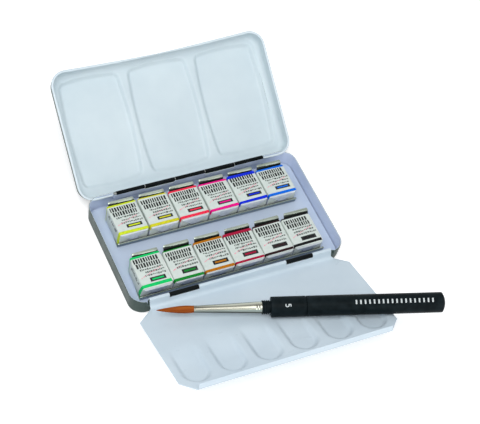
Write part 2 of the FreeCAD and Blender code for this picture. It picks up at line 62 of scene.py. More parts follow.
# ---- sizes of the tin
base_lo, base_hi = span("base_tray")
HALF_W, HALF_D = (base_hi[0] - base_lo[0]) / 2, -base_lo[1]
SHEET, CORNER_R, DRAFT = 0.45, 8.7, 0.09
BASE_H, LID_H, RIM_GAP = 10.5, 8.4, 0.1
REAR_Y, PART_Z = (1000 * JOINTS["lid_hinge"]["pos_m"][i] for i in (1, 2))
FRONT_Y, FRONT_Z = (1000 * JOINTS["leaf_hinge"]["pos_m"][i] for i in (1, 2))
LID_OPEN = -JOINTS["lid_hinge"]["range_deg"][0]
LEAF_OPEN = -JOINTS["leaf_hinge"]["range_deg"][0]
# hinges: knuckles rolled from the sheet round a wire
BORE_R = 0.6
KNUCKLE_R, KNUCKLE_EDGE, SEAM_DEPTH = BORE_R + SHEET, 0.1, 0.16
KNUCKLE_ROOM, KNUCKLE_TIGHT = 0.15, 0.05  # round the other wall's knuckles, within its own
REAR_HALF_L, REAR_KNUCKLES, REAR_HALF_GAP, REAR_LEFT_CUT, REAR_STEP = 44.0, 5, 0.25, 1.0, 3.14
FRONT_KNUCKLES = [(-40.0, -23.85), (26.6, 42.0)]
FRONT_SHOULDER_Z = 6.61
NECK_LEFT, NECK_RIGHT, NECK_SIDE = 51.2, 53.0, 0.5
# the base's own skin: its corners, draft and foot, and how much narrower its left half is
SHELL_HALF_W, SHELL_CORNER, SHELL_DRAFT, SHELL_FOOT, SHELL_LEFT = 61.55, 7.8, 0.05, 1.4, 0.979


# ---- materials
def lin(r, g, b):
    """sRGB 0-255 to a linear colour."""
    out = []
    for v in (r, g, b):
        v /= 255
        out.append(v / 12.92 if v <= 0.04045 else ((v + 0.055) / 1.055) ** 2.4)
    return (*out, 1.0)


def fill(node, **inputs):
    """Set a node's inputs; a name has an underscore for each space."""
    for key, value in inputs.items():
        node.inputs[key.replace("_", " ")].default_value = value
    return node


def add_node(tree, kind, **inputs):
    return fill(tree.nodes.new(kind), **inputs)


class Finish:
    """A material with its shader and procedural helpers."""

    def __init__(self, name, rough, metal=0.0, coat=0.0, coat_rough=0.08, spec=0.5):
        self.mat = bpy.data.materials.new(name)
        self.mat.use_nodes = True
        self.tree = self.mat.node_tree
        self.link = self.tree.links.new
        self.bsdf = fill(self.tree.nodes["Principled BSDF"], Roughness=rough, Metallic=metal,
                         Coat_Weight=coat, Coat_Roughness=coat_rough, Specular_IOR_Level=spec)
        self.last_bump = None

    def noise(self, scale, detail=3.0, rough=0.55, stretch=(1, 1, 1), distort=0.0):
        where = add_node(self.tree, "ShaderNodeTexCoord")
        mapping = add_node(self.tree, "ShaderNodeMapping", Scale=stretch)
        n = add_node(self.tree, "ShaderNodeTexNoise", Scale=scale, Detail=detail,
                     Roughness=rough, Distortion=distort)
        self.link(where.outputs["Object"], mapping.inputs["Vector"])
        self.link(mapping.outputs["Vector"], n.inputs["Vector"])
        return n.outputs["Fac"]

    def colour(self, fac, stops):
        """Colour by a noise, from (place, linear colour) stops."""
        n = add_node(self.tree, "ShaderNodeValToRGB")
        e = n.color_ramp.elements
        while len(e) < len(stops):
            e.new(0.5)
        for i, (place, colour) in enumerate(stops):
            e[i].position = place
            e[i].color = colour
        self.link(fac, n.inputs["Fac"])
        self.link(n.outputs["Color"], self.bsdf.inputs["Base Color"])

    def roughness(self, fac, lo, hi):
        n = add_node(self.tree, "ShaderNodeMapRange", From_Min=0.3, From_Max=0.7, To_Min=lo,
                     To_Max=hi)
        self.link(fac, n.inputs["Value"])
        self.link(n.outputs["Result"], self.bsdf.inputs["Roughness"])

    def bump(self, fac, strength, distance):
        n = add_node(self.tree, "ShaderNodeBump", Strength=strength, Distance=distance)
        self.link(fac, n.inputs["Height"])
        if self.last_bump is not None:
            self.link(self.last_bump, n.inputs["Normal"])
        self.last_bump = n.outputs["Normal"]
        self.link(self.last_bump, self.bsdf.inputs["Normal"])


M = {}


def finish(name, rough, tone, colours, gloss=None, bumps=(), places=(0.3, 0.7), **kind):
    """Put a material in M that goes through the colours at places of the noise tone.

    gloss is a noise with its lowest and highest roughness, a bump one with strength and height.
    """
    f = Finish(name, rough, **kind)
    f.colour(f.noise(*tone), [(place, lin(*rgb)) for place, rgb in zip(places, colours)])
    if gloss:
        f.roughness(f.noise(*gloss[0]), *gloss[1:])
    for noise, strength, height in bumps:
        f.bump(f.noise(*noise), strength, height)
    M[name] = f.mat
    return f.mat


def enamel(name, low, high, rough):
    """Stove enamel: a soft coat with faint orange peel."""
    finish(name, rough, (38, 3, 0.6), (low, high), ((160, 2), rough - 0.05, rough + 0.08),
           [((900, 2, 0.5), 0.03, 0.00002)], (0.32, 0.68), coat=0.1, coat_rough=0.2, spec=0.3)


def strip_steel(name, rough, scale, along, low, high, gloss=None, bump=0.3):
    """Bare rolled strip with fine lines along the rail."""
    finish(name, rough, (scale, 3, 0.6, (along, 1, 1)), (low, high), gloss,
           [((900, 3, 0.6, (0.02, 1, 1)), bump, 0.00003)], metal=1.0)


# one white enamel in a tone per part; the bluer tones of the base and the liner are painted shade
enamel("lid_white", (196, 210, 216), (204, 217, 222), 0.48)
enamel("leaf_white", (198, 213, 223), (205, 219, 228), 0.32)
enamel("base_white_painted_shade", (197, 210, 235), (206, 218, 241), 0.42)
enamel("liner", (185, 199, 219), (195, 208, 226), 0.42)
# the rim's paler white is painted highlight on the rolled bead
enamel("rim", (206, 219, 226), (214, 226, 231), 0.3)
finish("black_lacquer", 0.42, (60, 4, 0.6), [(66, 80, 76), (78, 92, 88)],
       ((220, 3), 0.28, 0.42), [((1400, 2), 0.15, 0.00002)], spec=0.06)
finish("barrel_black", 0.34, (300, 4), [(5, 8, 10), (16, 21, 24)],
       bumps=[((1500, 2, 0.55, (0.2, 1, 1)), 0.2, 0.00003)], places=(0.35, 0.72), spec=0.09)
strip_steel("spring_steel", 0.34, 900, 0.02, (126, 137, 128), (180, 190, 178),
            ((120, 3), 0.24, 0.36), 0.35)
# painted shade, dark on the tabs above the pans and high on the lip, and painted reflection, cool
# blue grey, on the lip below that
strip_steel("steel_painted_shade", 0.34, 700, 0.04, (34, 38, 37), (66, 70, 66))
strip_steel("steel_lip_painted_reflection", 0.36, 800, 0.03, (104, 118, 134), (150, 162, 174))
finish("hinge_wire", 0.3, (700, 3, 0.55, (0.05, 1, 1)), [(150, 152, 150), (190, 192, 188)],
       bumps=[((1500, 2, 0.55, (0.03, 1, 1)), 0.3, 0.00002)], metal=1.0)


# ---- mesh building
def new_object(name, data):
    ob = bpy.data.objects.new(name, data)
    bpy.context.scene.collection.objects.link(ob)
    return ob


def make(name, mesh, body, mats, sharp=40.0, place=None):
    """One piece of the scene from a Mesh in mm, riding on a body."""
    me = bpy.data.meshes.new(name)
    me.from_pydata([tuple(0.001 * float(c) for c in v) for v in mesh.v], [], mesh.f)
    for m in mats:
        me.materials.append(M[m])
    me.polygons.foreach_set("material_index", mesh.m)
    me.polygons.foreach_set("use_smooth", [True] * len(me.polygons))
    bm = bmesh.new()
    bm.from_mesh(me)
    bmesh.ops.recalc_face_normals(bm, faces=bm.faces)
    bm.to_mesh(me)
    bm.free()
    me.update()
    if sharp:
        me.set_sharp_from_angle(angle=radians(sharp))
    ob = new_object(name, me)
    if place is not None:
        ob.matrix_world = place
    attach(ob, body)
    return ob


def sheet_mod(ob, thick, bevel):
    """Give a piece its sheet's thickness, with broken edges."""
    mod = ob.modifiers.new("sheet", "SOLIDIFY")
    mod.thickness = thick / 1000
    mod.offset = 0.0
    mod.use_even_offset = True
    bev = ob.modifiers.new("edge", "BEVEL")
    bev.width = bevel / 1000
    bev.segments = 2
    bev.limit_method = "ANGLE"
    bev.angle_limit = radians(60)


class Mesh:
    """Vertices, faces and material numbers that grow together."""

    def __init__(self):
        self.v, self.f, self.m = [], [], []

    def add(self, verts, faces, mats):
        k = len(self.v)
        self.v += [tuple(float(c) for c in p) for p in verts]
        self.f += [tuple(k + i for i in face) for face in faces]
        self.m += mats

    def grid(self, rows, m=0, closed=False, wrap=False, skip=None):
        """Rows of points joined by quads; closed joins each row's ends, wrap the outer rows.

        m is a material number, or gives it for a quad's row and column; skip leaves quads out.
        """
        n, faces, mats = len(rows[0]), [], []
        for i in range(len(rows) - (not wrap)):
            i2 = (i + 1) % len(rows)
            for j in range(n - (not closed)):
                j2 = (j + 1) % n
                if not (skip and skip(i, j)):
                    faces.append((i * n + j, i * n + j2, i2 * n + j2, i2 * n + j))
                    mats.append(m(i, j) if callable(m) else m)
        self.add([p for row in rows for p in row], faces, mats)

    def fan(self, ring, centre):
        n = len(ring)
        self.add(list(ring) + [centre], [(i, (i + 1) % n, n) for i in range(n)], [0] * n)

    def weld(self, tol=1e-4):
        """Join vertices that lie on each other."""
        seen, remap, verts = {}, [], []
        for p in self.v:
            key = tuple(round(c / tol) for c in p)
            if key not in seen:
                seen[key] = len(verts)
                verts.append(p)
            remap.append(seen[key])
        faces = [(tuple(dict.fromkeys(remap[i] for i in f)), m) for f, m in zip(self.f, self.m)]
        self.v = verts
        self.f, self.m = ([face[k] for face in faces if len(face[0]) > 2] for k in (0, 1))

    def turn(self, fn):
        self.v = [tuple(fn(p)) for p in self.v]


def unit(angle):
    return cos(radians(angle)), sin(radians(angle))


def about_x(angle, y, z):
    """Turn by angle degrees about the line through (y, z) along +X."""
    c, s = unit(angle)
    return lambda p: (p[0], y + (p[1] - y) * c - (p[2] - z) * s, z + (p[1] - y) * s
                      + (p[2] - z) * c)


def smooth(a, b, x):
    t = min(max((x - a) / (b - a), 0.0), 1.0)
    return t * t * (3 - 2 * t)


# steps round half a corner, and down the wall, the foot and the rolled rim of a tray
CORNER_STEPS, WALL_ROWS, FOOT_STEPS, RIM_ROWS = 6, 24, 7, 11
# distances from the middle where a wall needs an edge
EDGES = [8.65, 8.95, 23.75, 24.05, 26.25, 26.55, 26.8, 39.8, 40.1, 41.8, 42.1, 43.9, 44.9,
         51.7, 52.1, 53.5]


def outline(step=1.0, half_w=HALF_W, corner=CORNER_R, left=1.0):
    """Samples round a tray: rim point and outward normal, on four sides.

    Each side runs from corner middle to corner middle, and facing sides match. left is a
    factor on the half where x is below 0.
    """
    arc = CORNER_STEPS
    cx, cy = half_w - corner, HALF_D - corner
    keys = [k for k in EDGES if k < cx - 0.2]
    xs = [x for x in linspace(-cx, cx, round(2 * cx / step) + 1)
          if all(abs(abs(x) - k) > 0.25 * step for k in keys)]
    xs = sorted(xs + keys + [-k for k in keys])
    ys = list(linspace(-cy, cy, round(2 * cy / step) + 1))
    runs = [(225, [(x, -cy) for x in xs]), (315, [(cx, y) for y in ys]),
            (45, [(x, cy) for x in reversed(xs)]), (135, [(-cx, y) for y in reversed(ys)])]
    sides = []
    for start, cores in runs:
        side = [(cores[0], unit(start + 45 * k / arc)) for k in range(arc)]
        side += [(c, unit(start + 45)) for c in cores]
        side += [(cores[-1], unit(start + 45 + 45 * k / arc)) for k in range(1, arc)]
        rim = [(c[0] + corner * n[0], c[1] + corner * n[1], n) for c, n in side]
        sides.append([((x * (left if x < 0 else 1), y), n) for x, y, n in rim])
    return sides


def ring(sides, inset, depth, bend, thick):
    """One level of a tray wall as (x, y, depth) points, moved by bend."""
    return [bend((p[0] - n[0] * inset, p[1] - n[1] * inset, depth), n, thick)
            for side in sides for p, n in side]


def floor_grid(sides, inset, height):
    """Coons grid over the floor inside a given inset, lifted by height(x, y)."""
    pts = [array([(p[0] - n[0] * inset, p[1] - n[1] * inset) for p, n in side]) for side in sides]
    front, right, back, left = (vstack([pts[k], pts[(k + 1) % 4][:1]]) for k in range(4))
    back, left = back[::-1], left[::-1]
    s = linspace(0, 1, len(front))[None, :, None]
    t = linspace(0, 1, len(right))[:, None, None]
    c00, c10, c01, c11 = front[0], front[-1], back[0], back[-1]
    grid = ((1 - t) * front[None] + t * back[None] + (1 - s) * left[:, None]
            + s * right[:, None] - ((1 - s) * (1 - t) * c00 + s * (1 - t) * c10
                                    + (1 - s) * t * c01 + s * t * c11))
    return [[(x, y, height(x, y)) for x, y in row] for row in grid]


def wall_levels(inset0, height, radius, draft):
    """(inset, depth) from the rim down the wall and round the foot to the floor."""
    d = atan(draft)
    z_c = height - radius
    i_c = inset0 + draft * z_c + radius / cos(d)
    out = [(inset0 + draft * w, w) for w in linspace(0, z_c + radius * sin(d), WALL_ROWS)]
    for k in range(1, FOOT_STEPS + 1):
        a = d + (pi / 2 - d) * k / FOOT_STEPS
        out.append((i_c - radius * cos(a), z_c + radius * sin(a)))
    return out


FACING = 0.9  # a rim point whose normal's y is beyond this lies on a front or back wall
STEP_OUT, STEP_IN, STEP_FADE = 0.9, 0.2, 0.4  # run of a step beyond and within its end, and down


def steps(walls):
    """Bend that steps straight walls in and cuts their tops.

    A wall is (side, left end, right end, outer face, depth of the step, top cut at x).
    """
    def bend(p, n, thick):
        x, y, w = p
        for side, left, right, face, depth, top in walls:
            if side * n[1] < FACING:
                continue
            near = (smooth(left - STEP_OUT, left + STEP_IN, x)
                    - smooth(right - STEP_IN, right + STEP_OUT, x))
            if near <= 0:
                continue
            d = depth + thick
            if w < d:
                cut = top(x)
                w = cut + w * (d - cut) / d
            move = max(side * y - (face - thick), 0) * near
            y -= side * move * (1 - smooth(d - STEP_FADE, d, w))
        return x, y, w
    return bend


# angle by which a rolled rim turns on past the wall, and how far below it the inside starts
RIM_CURL, RIM_INSIDE = 0.9, 1.15


def tray(sides, height, foot, floor, bend, bead=SHEET, hang=0.0, draft=DRAFT, dark=1):
    """Pressed tray as (x, y, depth): white inside, black outside, and a rolled rim in a paler
    white that is painted highlight.

    bead is the width of the rolled rim, hang how far it stands out over the wall,
    dark how many steps of the rim still have the outside's lacquer.
    """
    mesh = Mesh()
    inner = wall_levels(SHEET + hang, height - SHEET, foot - SHEET, draft)
    outer = wall_levels(hang, height, foot, draft)
    c = bead / 2
    curl = RIM_CURL if bead > SHEET else 0.0
    levels = [(i, w, 0.0) for i, w in reversed(outer) if w > c * (1 + sin(curl))]
    black = len(levels)
    for a in linspace(-curl, pi + curl, RIM_ROWS):
        i = c - c * cos(a)
        levels.append((i, c - c * sin(a), min(i, SHEET)))
    white = len(levels)
    levels += [(i, w, SHEET) for i, w in inner if w > c * (1 + RIM_INSIDE * sin(curl))]
    rows = [ring(sides, i, w, bend, thick) for i, w, thick in levels]
    mesh.grid(rows, closed=True,
              m=lambda i, j: 1 if i < black + dark else 2 if i < white - 1 else 0)
    mesh.grid(floor_grid(sides, inner[-1][0], lambda x, y: height - SHEET + floor(x, y)), 0)
    mesh.grid(floor_grid(sides, outer[-1][0], lambda x, y: height + floor(x, y)), 1)
    mesh.weld()
    return mesh


def barrel(mesh, x0, x1, y, z, m, seam):
    """Rolled knuckle round the hinge axis, with its seam at an angle."""
    edge, count = KNUCKLE_EDGE, 36
    rows = []
    for x, radius in ((x0, BORE_R), (x0, KNUCKLE_R - edge), (x0 + edge, KNUCKLE_R),
                      (x1 - edge, KNUCKLE_R), (x1, KNUCKLE_R - edge), (x1, BORE_R)):
        row = []
        for k in range(count):
            a = 2 * pi * k / count
            groove = radius > BORE_R and k == round(seam / 360 * count)
            r = radius - (SEAM_DEPTH if groove else 0)
            row.append((x, y + r * cos(a), z + r * sin(a)))
        rows.append(row)
    mesh.grid(rows, m, closed=True, wrap=True)


def rear_spans():
    """Ends of the rear knuckles, every other one the base's; the left one is shorter."""
    step = 2 * REAR_HALF_L / REAR_KNUCKLES
    spans = [(-REAR_HALF_L + i * step + REAR_HALF_GAP,
              -REAR_HALF_L + (i + 1) * step - REAR_HALF_GAP) for i in range(REAR_KNUCKLES)]
    return [(spans[0][0] + REAR_LEFT_CUT, spans[0][1])] + spans[1:]


def inside(x, spans, room=0.2):
    return any(a - room < x < b + room for a, b in spans)


SPANS = rear_spans()
REAR_CUT = KNUCKLE_R + KNUCKLE_ROOM - RIM_GAP / 2


# ---- base
SHELL = outline(half_w=SHELL_HALF_W, corner=SHELL_CORNER, left=SHELL_LEFT)
BASE_DARK = 5  # steps of its rim in the outside's lacquer
TIN_FINISHES = ["black_lacquer", "rim", "barrel_black"]


def base_piece():
    """Tray with the hinge walls stepped in, cut low between its own knuckles."""
    leaf_cut = BASE_H - (FRONT_Z - KNUCKLE_R - KNUCKLE_ROOM)

    def front_top(x):
        return BASE_H - FRONT_Z if inside(x, FRONT_KNUCKLES, -KNUCKLE_TIGHT) else leaf_cut

    bend = steps([
        (1, -REAR_HALF_L, REAR_HALF_L, REAR_Y - BORE_R, REAR_STEP,
         lambda x: REAR_CUT if inside(x, SPANS[1::2]) else 0.0),
        (-1, -NECK_LEFT - NECK_SIDE, NECK_RIGHT + NECK_SIDE, -(FRONT_Y + BORE_R),
         BASE_H - FRONT_SHOULDER_Z, front_top),
    ])
    mesh = tray(SHELL, BASE_H, SHELL_FOOT, lambda x, y: 0.0, bend, draft=SHELL_DRAFT,
                dark=BASE_DARK)
    mesh.turn(lambda p: (p[0], p[1], BASE_H - p[2]))
    for x0, x1 in SPANS[0::2]:
        barrel(mesh, x0, x1, REAR_Y, PART_Z, 3, seam=120)
    for x0, x1 in FRONT_KNUCKLES:
        barrel(mesh, x0, x1, FRONT_Y, FRONT_Z, 3, seam=60)
    ob = make("base_shell", mesh, "base", ["base_white_painted_shade"] + TIN_FINISHES)
    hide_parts("base_tray")


LINER_T, LINER_GAP, LINER_EDGE, LINER_HINGE_ROOM = 0.4, 0.4, 0.12, 0.35


def liner_piece():
    """A flat floor that stops short of the walls all round."""
    top = SEAT_Z - RAIL_T
    under = top - LINER_T
    y_front = FRONT_Y + BORE_R + SHEET + LINER_HINGE_ROOM
    y_back = REAR_Y - BORE_R - SHEET - LINER_HINGE_ROOM

    def bend(p, n=None, thick=0):
        return p[0], min(max(p[1], y_front), y_back), p[2]

    mesh = Mesh()
    inset = SHEET + SHELL_DRAFT * BASE_H + LINER_GAP
    mesh.grid([ring(SHELL, inset + edge, z, bend, 0) for edge, z in
               ((0, under), (0, top - LINER_EDGE), (LINER_EDGE, top))], closed=True)
    for edge, z in ((LINER_EDGE, top), (0, under)):
        mesh.grid([[bend(p) for p in row]
                   for row in floor_grid(SHELL, inset + edge, lambda x, y: z)])
    mesh.weld()
    ob = make("liner_floor", mesh, "base", ["liner"])
    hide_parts("floor_liner")


# ---- lid
WELL_PITCH, WELL_HALF_W, WELL_HALF_L = 39.6, 17.2, 30.3
WELL_BOW, WELL_END_BOW, WELL_CORNER = 1.8, 1.5, 3.2
WELL_DEPTH, WELL_SLOPE, WELL_Y = 2.0, 2.2, -0.8
WELL_FLAT, WELL_ROUND = 0.55, 0.45  # shares of a well's flank that are straight and rounded
LID_FOOT, LID_BEAD, LID_HANG, LID_STEP = 3.4, 1.3, 0.3, 0.6
# sag of the free rim: its depth and power, where it fades down the wall, and least normal y
LID_SAG, SAG_POWER, SAG_TOP, SAG_END, SAG_FACING = 1.65, 1.25, 0.5, 7.0, 0.7
# where the leaf's neck passes the shut lid, the free wall stays behind it
PASS_HALF_W, PASS_START, PASS_END, PASS_BACK, PASS_ROOM = 40, 2.6, 5.0, 2.0, 0.15


def well(x, y):
    """Depth of the three mixing wells below the lid's floor."""
    v = y - WELL_Y
    u = x - min(max(round(x / WELL_PITCH), -1), 1) * WELL_PITCH
    half_w = WELL_HALF_W + WELL_BOW * (1 - (v / WELL_HALF_L) ** 2)
    half_l = WELL_HALF_L - WELL_END_BOW * (u / WELL_HALF_W) ** 2
    qx, qy = abs(u) - half_w + WELL_CORNER, abs(v) - half_l + WELL_CORNER
    sd = min(max(qx, qy), 0) + hypot(max(qx, 0), max(qy, 0)) - WELL_CORNER
    t = min(max(-sd / WELL_SLOPE, 0.0), 1.0)
    return WELL_DEPTH * (WELL_FLAT * t + WELL_ROUND * t * t * (3 - 2 * t))


def lid_piece():
    step = steps([(1, -REAR_HALF_L, REAR_HALF_L, REAR_Y - BORE_R, REAR_STEP,
                   lambda x: REAR_CUT if inside(x, SPANS[0::2]) else 0.0)])

    def bend(p, n, thick):
        x, y, w = step(p, n, thick)
        if n[1] < -SAG_FACING:
            sag = LID_SAG * max(1 - (abs(x) / (HALF_W - CORNER_R)) ** SAG_POWER, 0)
            y += sag * (1 - smooth(SAG_TOP, SAG_END, w))
            if abs(x) < PASS_HALF_W and w < PASS_END:
                back = PASS_BACK * smooth(PASS_START, PASS_END, w)
                y = min(y, FRONT_Y + BORE_R - PASS_ROOM + back)
        return x, y, w

    mesh = tray(outline(step=LID_STEP), LID_H, LID_FOOT, well, bend, LID_BEAD, LID_HANG)
    mesh.turn(lambda p: (p[0], p[1], PART_Z + RIM_GAP / 2 + p[2]))
    for x0, x1 in SPANS[1::2]:
        barrel(mesh, x0, x1, REAR_Y, PART_Z, 3, seam=240)
    mesh.turn(about_x(-LID_OPEN, REAR_Y, PART_Z))
    ob = make("lid_shell", mesh, "lid", ["lid_white"] + TIN_FINISHES)
    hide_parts("lid")


# ---- leaf
LEAF_W, LEAF_L, NECK_H, LIP_H = 121.0, 66.0, 4.65, 4.2
FAR_CHAMFER_X, FAR_CHAMFER_Y = 7.3, 7.7
# where a shoulder starts and how long it is, by the side's neck
SHOULDERS = {NECK_LEFT: (2.0, 7.8), NECK_RIGHT: (1.0, 7.0)}
HINGE_BEND_R, LIP_BEND_R, SLOT_H, SLOT_SIDE = 2.1, 0.9, 1.2, 0.2
PAST_SHOULDERS = 10.1  # one row of points lies here, where both shoulders have ended
THUMB_PITCH, THUMB_HALF_W, THUMB_DEPTH, THUMB_L, THUMB_END = 19.6, 7.9, 2.2, 29.0, 5.2
# a thumb well's flank in half widths, how hollow its floor is, where it is deep, of its run
THUMB_FLANK, THUMB_HOLLOW, THUMB_FADE = (0.70, 1.04), 0.14, 0.15
LEAF_COLUMNS, LEAF_ROW = 153, 0.75  # number of columns of points, and pitch of the rows


def thumb(x, y):
    """Depth of the six thumb wells of the leaf."""
    u = x - (min(max(round(x / THUMB_PITCH + 2.5), 0), 5) - 2.5) * THUMB_PITCH
    v = y - (LEAF_L - THUMB_END - THUMB_HALF_W)
    run = THUMB_L - THUMB_HALF_W
    q = (hypot(u, v) if v > 0 else abs(u)) / THUMB_HALF_W
    depth = THUMB_DEPTH * smooth(-run, -run * THUMB_FADE, v) * (1 - smooth(*THUMB_FLANK, q))
    return depth * (1 - THUMB_HOLLOW * q * q)


def leaf_path():
    """Middle of the folded leaf's sheet as (y, z)."""
    mid, r, r2 = BORE_R + SHEET / 2, HINGE_BEND_R, LIP_BEND_R
    zc, yc = NECK_H - r, mid + r
    pts = [(mid, z) for z in (0, SLOT_H / 2, SLOT_H, SLOT_H + 0.15, 1.8, 2.2)]
    pts += [(yc - r * cos(a), zc + r * sin(a)) for a in linspace(0, pi / 2, 9)]
    end = LEAF_L - SHEET / 2 - r2
    ys = sorted(set([round(v, 4) for v in arange(yc + 0.8, end - 0.3, LEAF_ROW)]
                    + [mid + PAST_SHOULDERS, LEAF_L - FAR_CHAMFER_Y]))
    pts += [(y, NECK_H) for y in ys]
    tip, z0 = NECK_H + SHEET / 2 - LIP_H, NECK_H - r2
    pts += [(end + r2 * sin(a), z0 + r2 * cos(a)) for a in linspace(0, pi / 2, 7)]
    pts += [(LEAF_L - SHEET / 2, z0 + (tip - z0) * t) for t in (0.3, 0.65, 1.0)]
    return pts


def leaf_piece():
    gaps = [(a - SLOT_SIDE, b + SLOT_SIDE) for a, b in FRONT_KNUCKLES]
    keys = [x for gap in gaps for x in gap]
    xs = [x for x in linspace(-NECK_LEFT, NECK_RIGHT, LEAF_COLUMNS)
          if all(abs(x - k) > SLOT_SIDE for k in keys)]
    xs = sorted(xs + keys)
    path = leaf_path()
    half = LEAF_W / 2

    def point(x, y, z):
        neck = NECK_LEFT if x < 0 else NECK_RIGHT
        root, slope = SHOULDERS[neck]
        x *= interp(y, [root, root + slope, LEAF_L - FAR_CHAMFER_Y, LEAF_L],
                       [neck, half, half, half - FAR_CHAMFER_X]) / neck
        return x, y, z + (thumb(x, y) if z > NECK_H - 0.01 else 0.0)

    def skip(i, j):
        x = (xs[j] + xs[j + 1]) / 2
        low = path[i][0] < 1 and path[i + 1][1] < SLOT_H + 0.01
        return low and inside(x, gaps, 0)

    mesh = Mesh()
    mesh.grid([[point(x, y, z) for x in xs] for y, z in path], skip=skip)
    place = about_x(LEAF_OPEN, 0, 0)
    mesh.turn(lambda p: (p[0], place(p)[1] + FRONT_Y, place(p)[2] + FRONT_Z))
    ob = make("leaf_plate", mesh, "leaf", ["leaf_white"], sharp=0)
    sheet_mod(ob, SHEET, 0.1)
    knuckles = Mesh()
    own = [(-NECK_LEFT, keys[0]), (keys[1], keys[2]), (keys[3], NECK_RIGHT)]
    for x0, x1 in own:
        barrel(knuckles, x0, x1, FRONT_Y, FRONT_Z, 0, seam=300)
    ob2 = make("leaf_knuckles", knuckles, "leaf", ["leaf_white"])
    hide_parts("palette_leaf")
    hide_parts("palette_leaf")


# ---- rails
RAIL_T, RAIL_L, RAIL_LIP_H, RAIL_PLAY = 0.35, 104.6, 2.95, 0.1
RAIL_BEND_R, TAB_BEND_R, RAIL_SLACK, RAIL_BEVEL = 0.3, 0.2, 0.03, 0.06
RAIL_FORWARD, LIP_OUT = 0.3, 0.22  # of the lip before the clearance, and where its hem starts
# the front rail reaches further left, and two of its tabs have a top edge in the painted shade
RAIL_KINDS = {1: (0.0, 1.005, ()), 7: (1.2, 1.012, (1, 4))}  # by first pan: (left, spread, tabs)
# the hem folded over the top of the lip, as (outward, below the top)
HEM = [(0.5, 0.75), (0.5, 0.12), (0.3, 0.02), (0.0, 0.12), (0.0, 0.8), (0.0, 1.65)]
# the lip's dark part is painted shade under its hem
LIP_SHADE_DEPTH, FLOOR_SHARE = 1.6, 0.965  # depth of the lip's dark part; width of the rail behind it
TAB_W, TAB_FOOT, TAB_PRESS, TAB_LEAN, TAB_OVER = 14.4, 1.0, 0.6, 2.2, 0.7
TAB_TIP = [(-0.9, 1.5), (-0.55, 0.95), (-0.2, 0.45), (0.75, 0.0)]  # (past the lean, below tip)
TAB_SHIFT, TIP_TAPER, FOOT_SPREAD = 0.3, 0.4, 0.35
PAN_PITCH, WRAP_W, WRAP_D, WRAP_H = 17.3, 16.7, 18.1, 9.85
SEAT_Z = span("wrapper_01")[0][2]


def bent(points, radius, count=5):
    """Polyline with each inner corner rounded."""
    out = [array(points[0], float)]
    for a, b, c in zip(points, points[1:], points[2:]):
        a, b, c = (array(p, float) for p in (a, b, c))
        before, after = norm(a - b), norm(c - b)
        r = min(radius, 0.45 * before, 0.45 * after)
        p, q = b + (a - b) / before * r, b + (c - b) / after * r
        for t in linspace(0, 1, count):
            out.append((1 - t) ** 2 * p + 2 * t * (1 - t) * b + t * t * q)
    out.append(array(points[-1], float))
    return out


def rail_piece(node, first):
    lo, hi = span("wrapper_%02d" % first)
    row, half = (lo[1] + hi[1]) / 2, RAIL_T / 2
    y0 = row - WRAP_D / 2 - RAIL_PLAY - half - RAIL_FORWARD
    y1 = row + WRAP_D / 2 + RAIL_PLAY
    z0, top = SEAT_Z - half, SEAT_Z + RAIL_LIP_H
    left_more, spread, edged_tabs = RAIL_KINDS[first]
    strip = bent([(y0 - out, top - down) for out, down in HEM]
                 + [(y0, z0), (y1 + TAB_FOOT - 0.4, z0)], RAIL_BEND_R)
    mesh = Mesh()
    xs = linspace(-RAIL_L / 2 - left_more, RAIL_L / 2, 60)

    def lip(i, j):
        (ya, za), (yb, zb) = strip[i], strip[i + 1]
        z = (za + zb) / 2
        if (ya + yb) / 2 < y0 - LIP_OUT or z < z0 + 0.3:
            return 0
        # painted shade on the lip's face under the hem, painted reflection on the lip below that
        return 1 if z > top - LIP_SHADE_DEPTH else 2

    mesh.grid([[(x * (FLOOR_SHARE if y > y0 + 0.3 else 1), y, z) for x in xs]
               for y, z in strip], lip)
    press, tip = SEAT_Z + TAB_PRESS * WRAP_H, SEAT_Z + WRAP_H + TAB_OVER
    tab = bent([(y1 + TAB_FOOT - 0.5, z0), (y1 + TAB_FOOT + half, z0), (y1 + half, press)]
               + [(y1 + TAB_LEAN + back, tip - down) for back, down in TAB_TIP], TAB_BEND_R)
    for i in range(6):
        x0 = (i - 2.5) * PAN_PITCH * spread + TAB_SHIFT
        rows = []
        for y, z in tab:
            w = (TAB_W / 2 - TIP_TAPER * smooth(tip - 0.5, tip, z)
                 - FOOT_SPREAD * smooth(press, z0, z))
            rows.append([(x0 + t * w, y, z) for t in linspace(-1, 1, 9)])

        def tone(k, j):
            # painted shade on the tab's face from the press point to below its tip, in the slot
            # behind the pan
            dark = press < (tab[k][1] + tab[k + 1][1]) / 2 < tip - 0.5 - 0.07 * j
            return 1 if dark or i in edged_tabs and tab[k][1] > tip - 0.2 else 0

        mesh.grid(rows, tone)
    ob = make(node + "_strip", mesh, "base",
              ["spring_steel", "steel_painted_shade", "steel_lip_painted_reflection"], sharp=0)
    sheet_mod(ob, RAIL_T - RAIL_SLACK, RAIL_BEVEL)
    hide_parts(node)


# ---- parcels
def paper(name, low, high):
    finish(name, 0.55, (420, 4, 0.6), (low, high),
           bumps=[((260, 3, 0.5), 0.25, 0.00008), ((2600, 2), 0.15, 0.00002)], spec=0.3)


def print_ink(name, ink, ground):
    """Printed tone that breaks up finely."""
    finish(name, 0.5, (2600, 1, 0.5, (1, 0.6, 1)), (ground, ink), places=(0.42, 0.52), spec=0.3)


paper("paper", (201, 211, 205), (212, 220, 214))
# painted shade on the parcels' end flaps and on their sides between neighbours, darker for the
# front row
paper("paper_painted_shade", (146, 158, 178), (172, 182, 198))
paper("paper_painted_shade_pale", (182, 191, 205), (204, 211, 220))
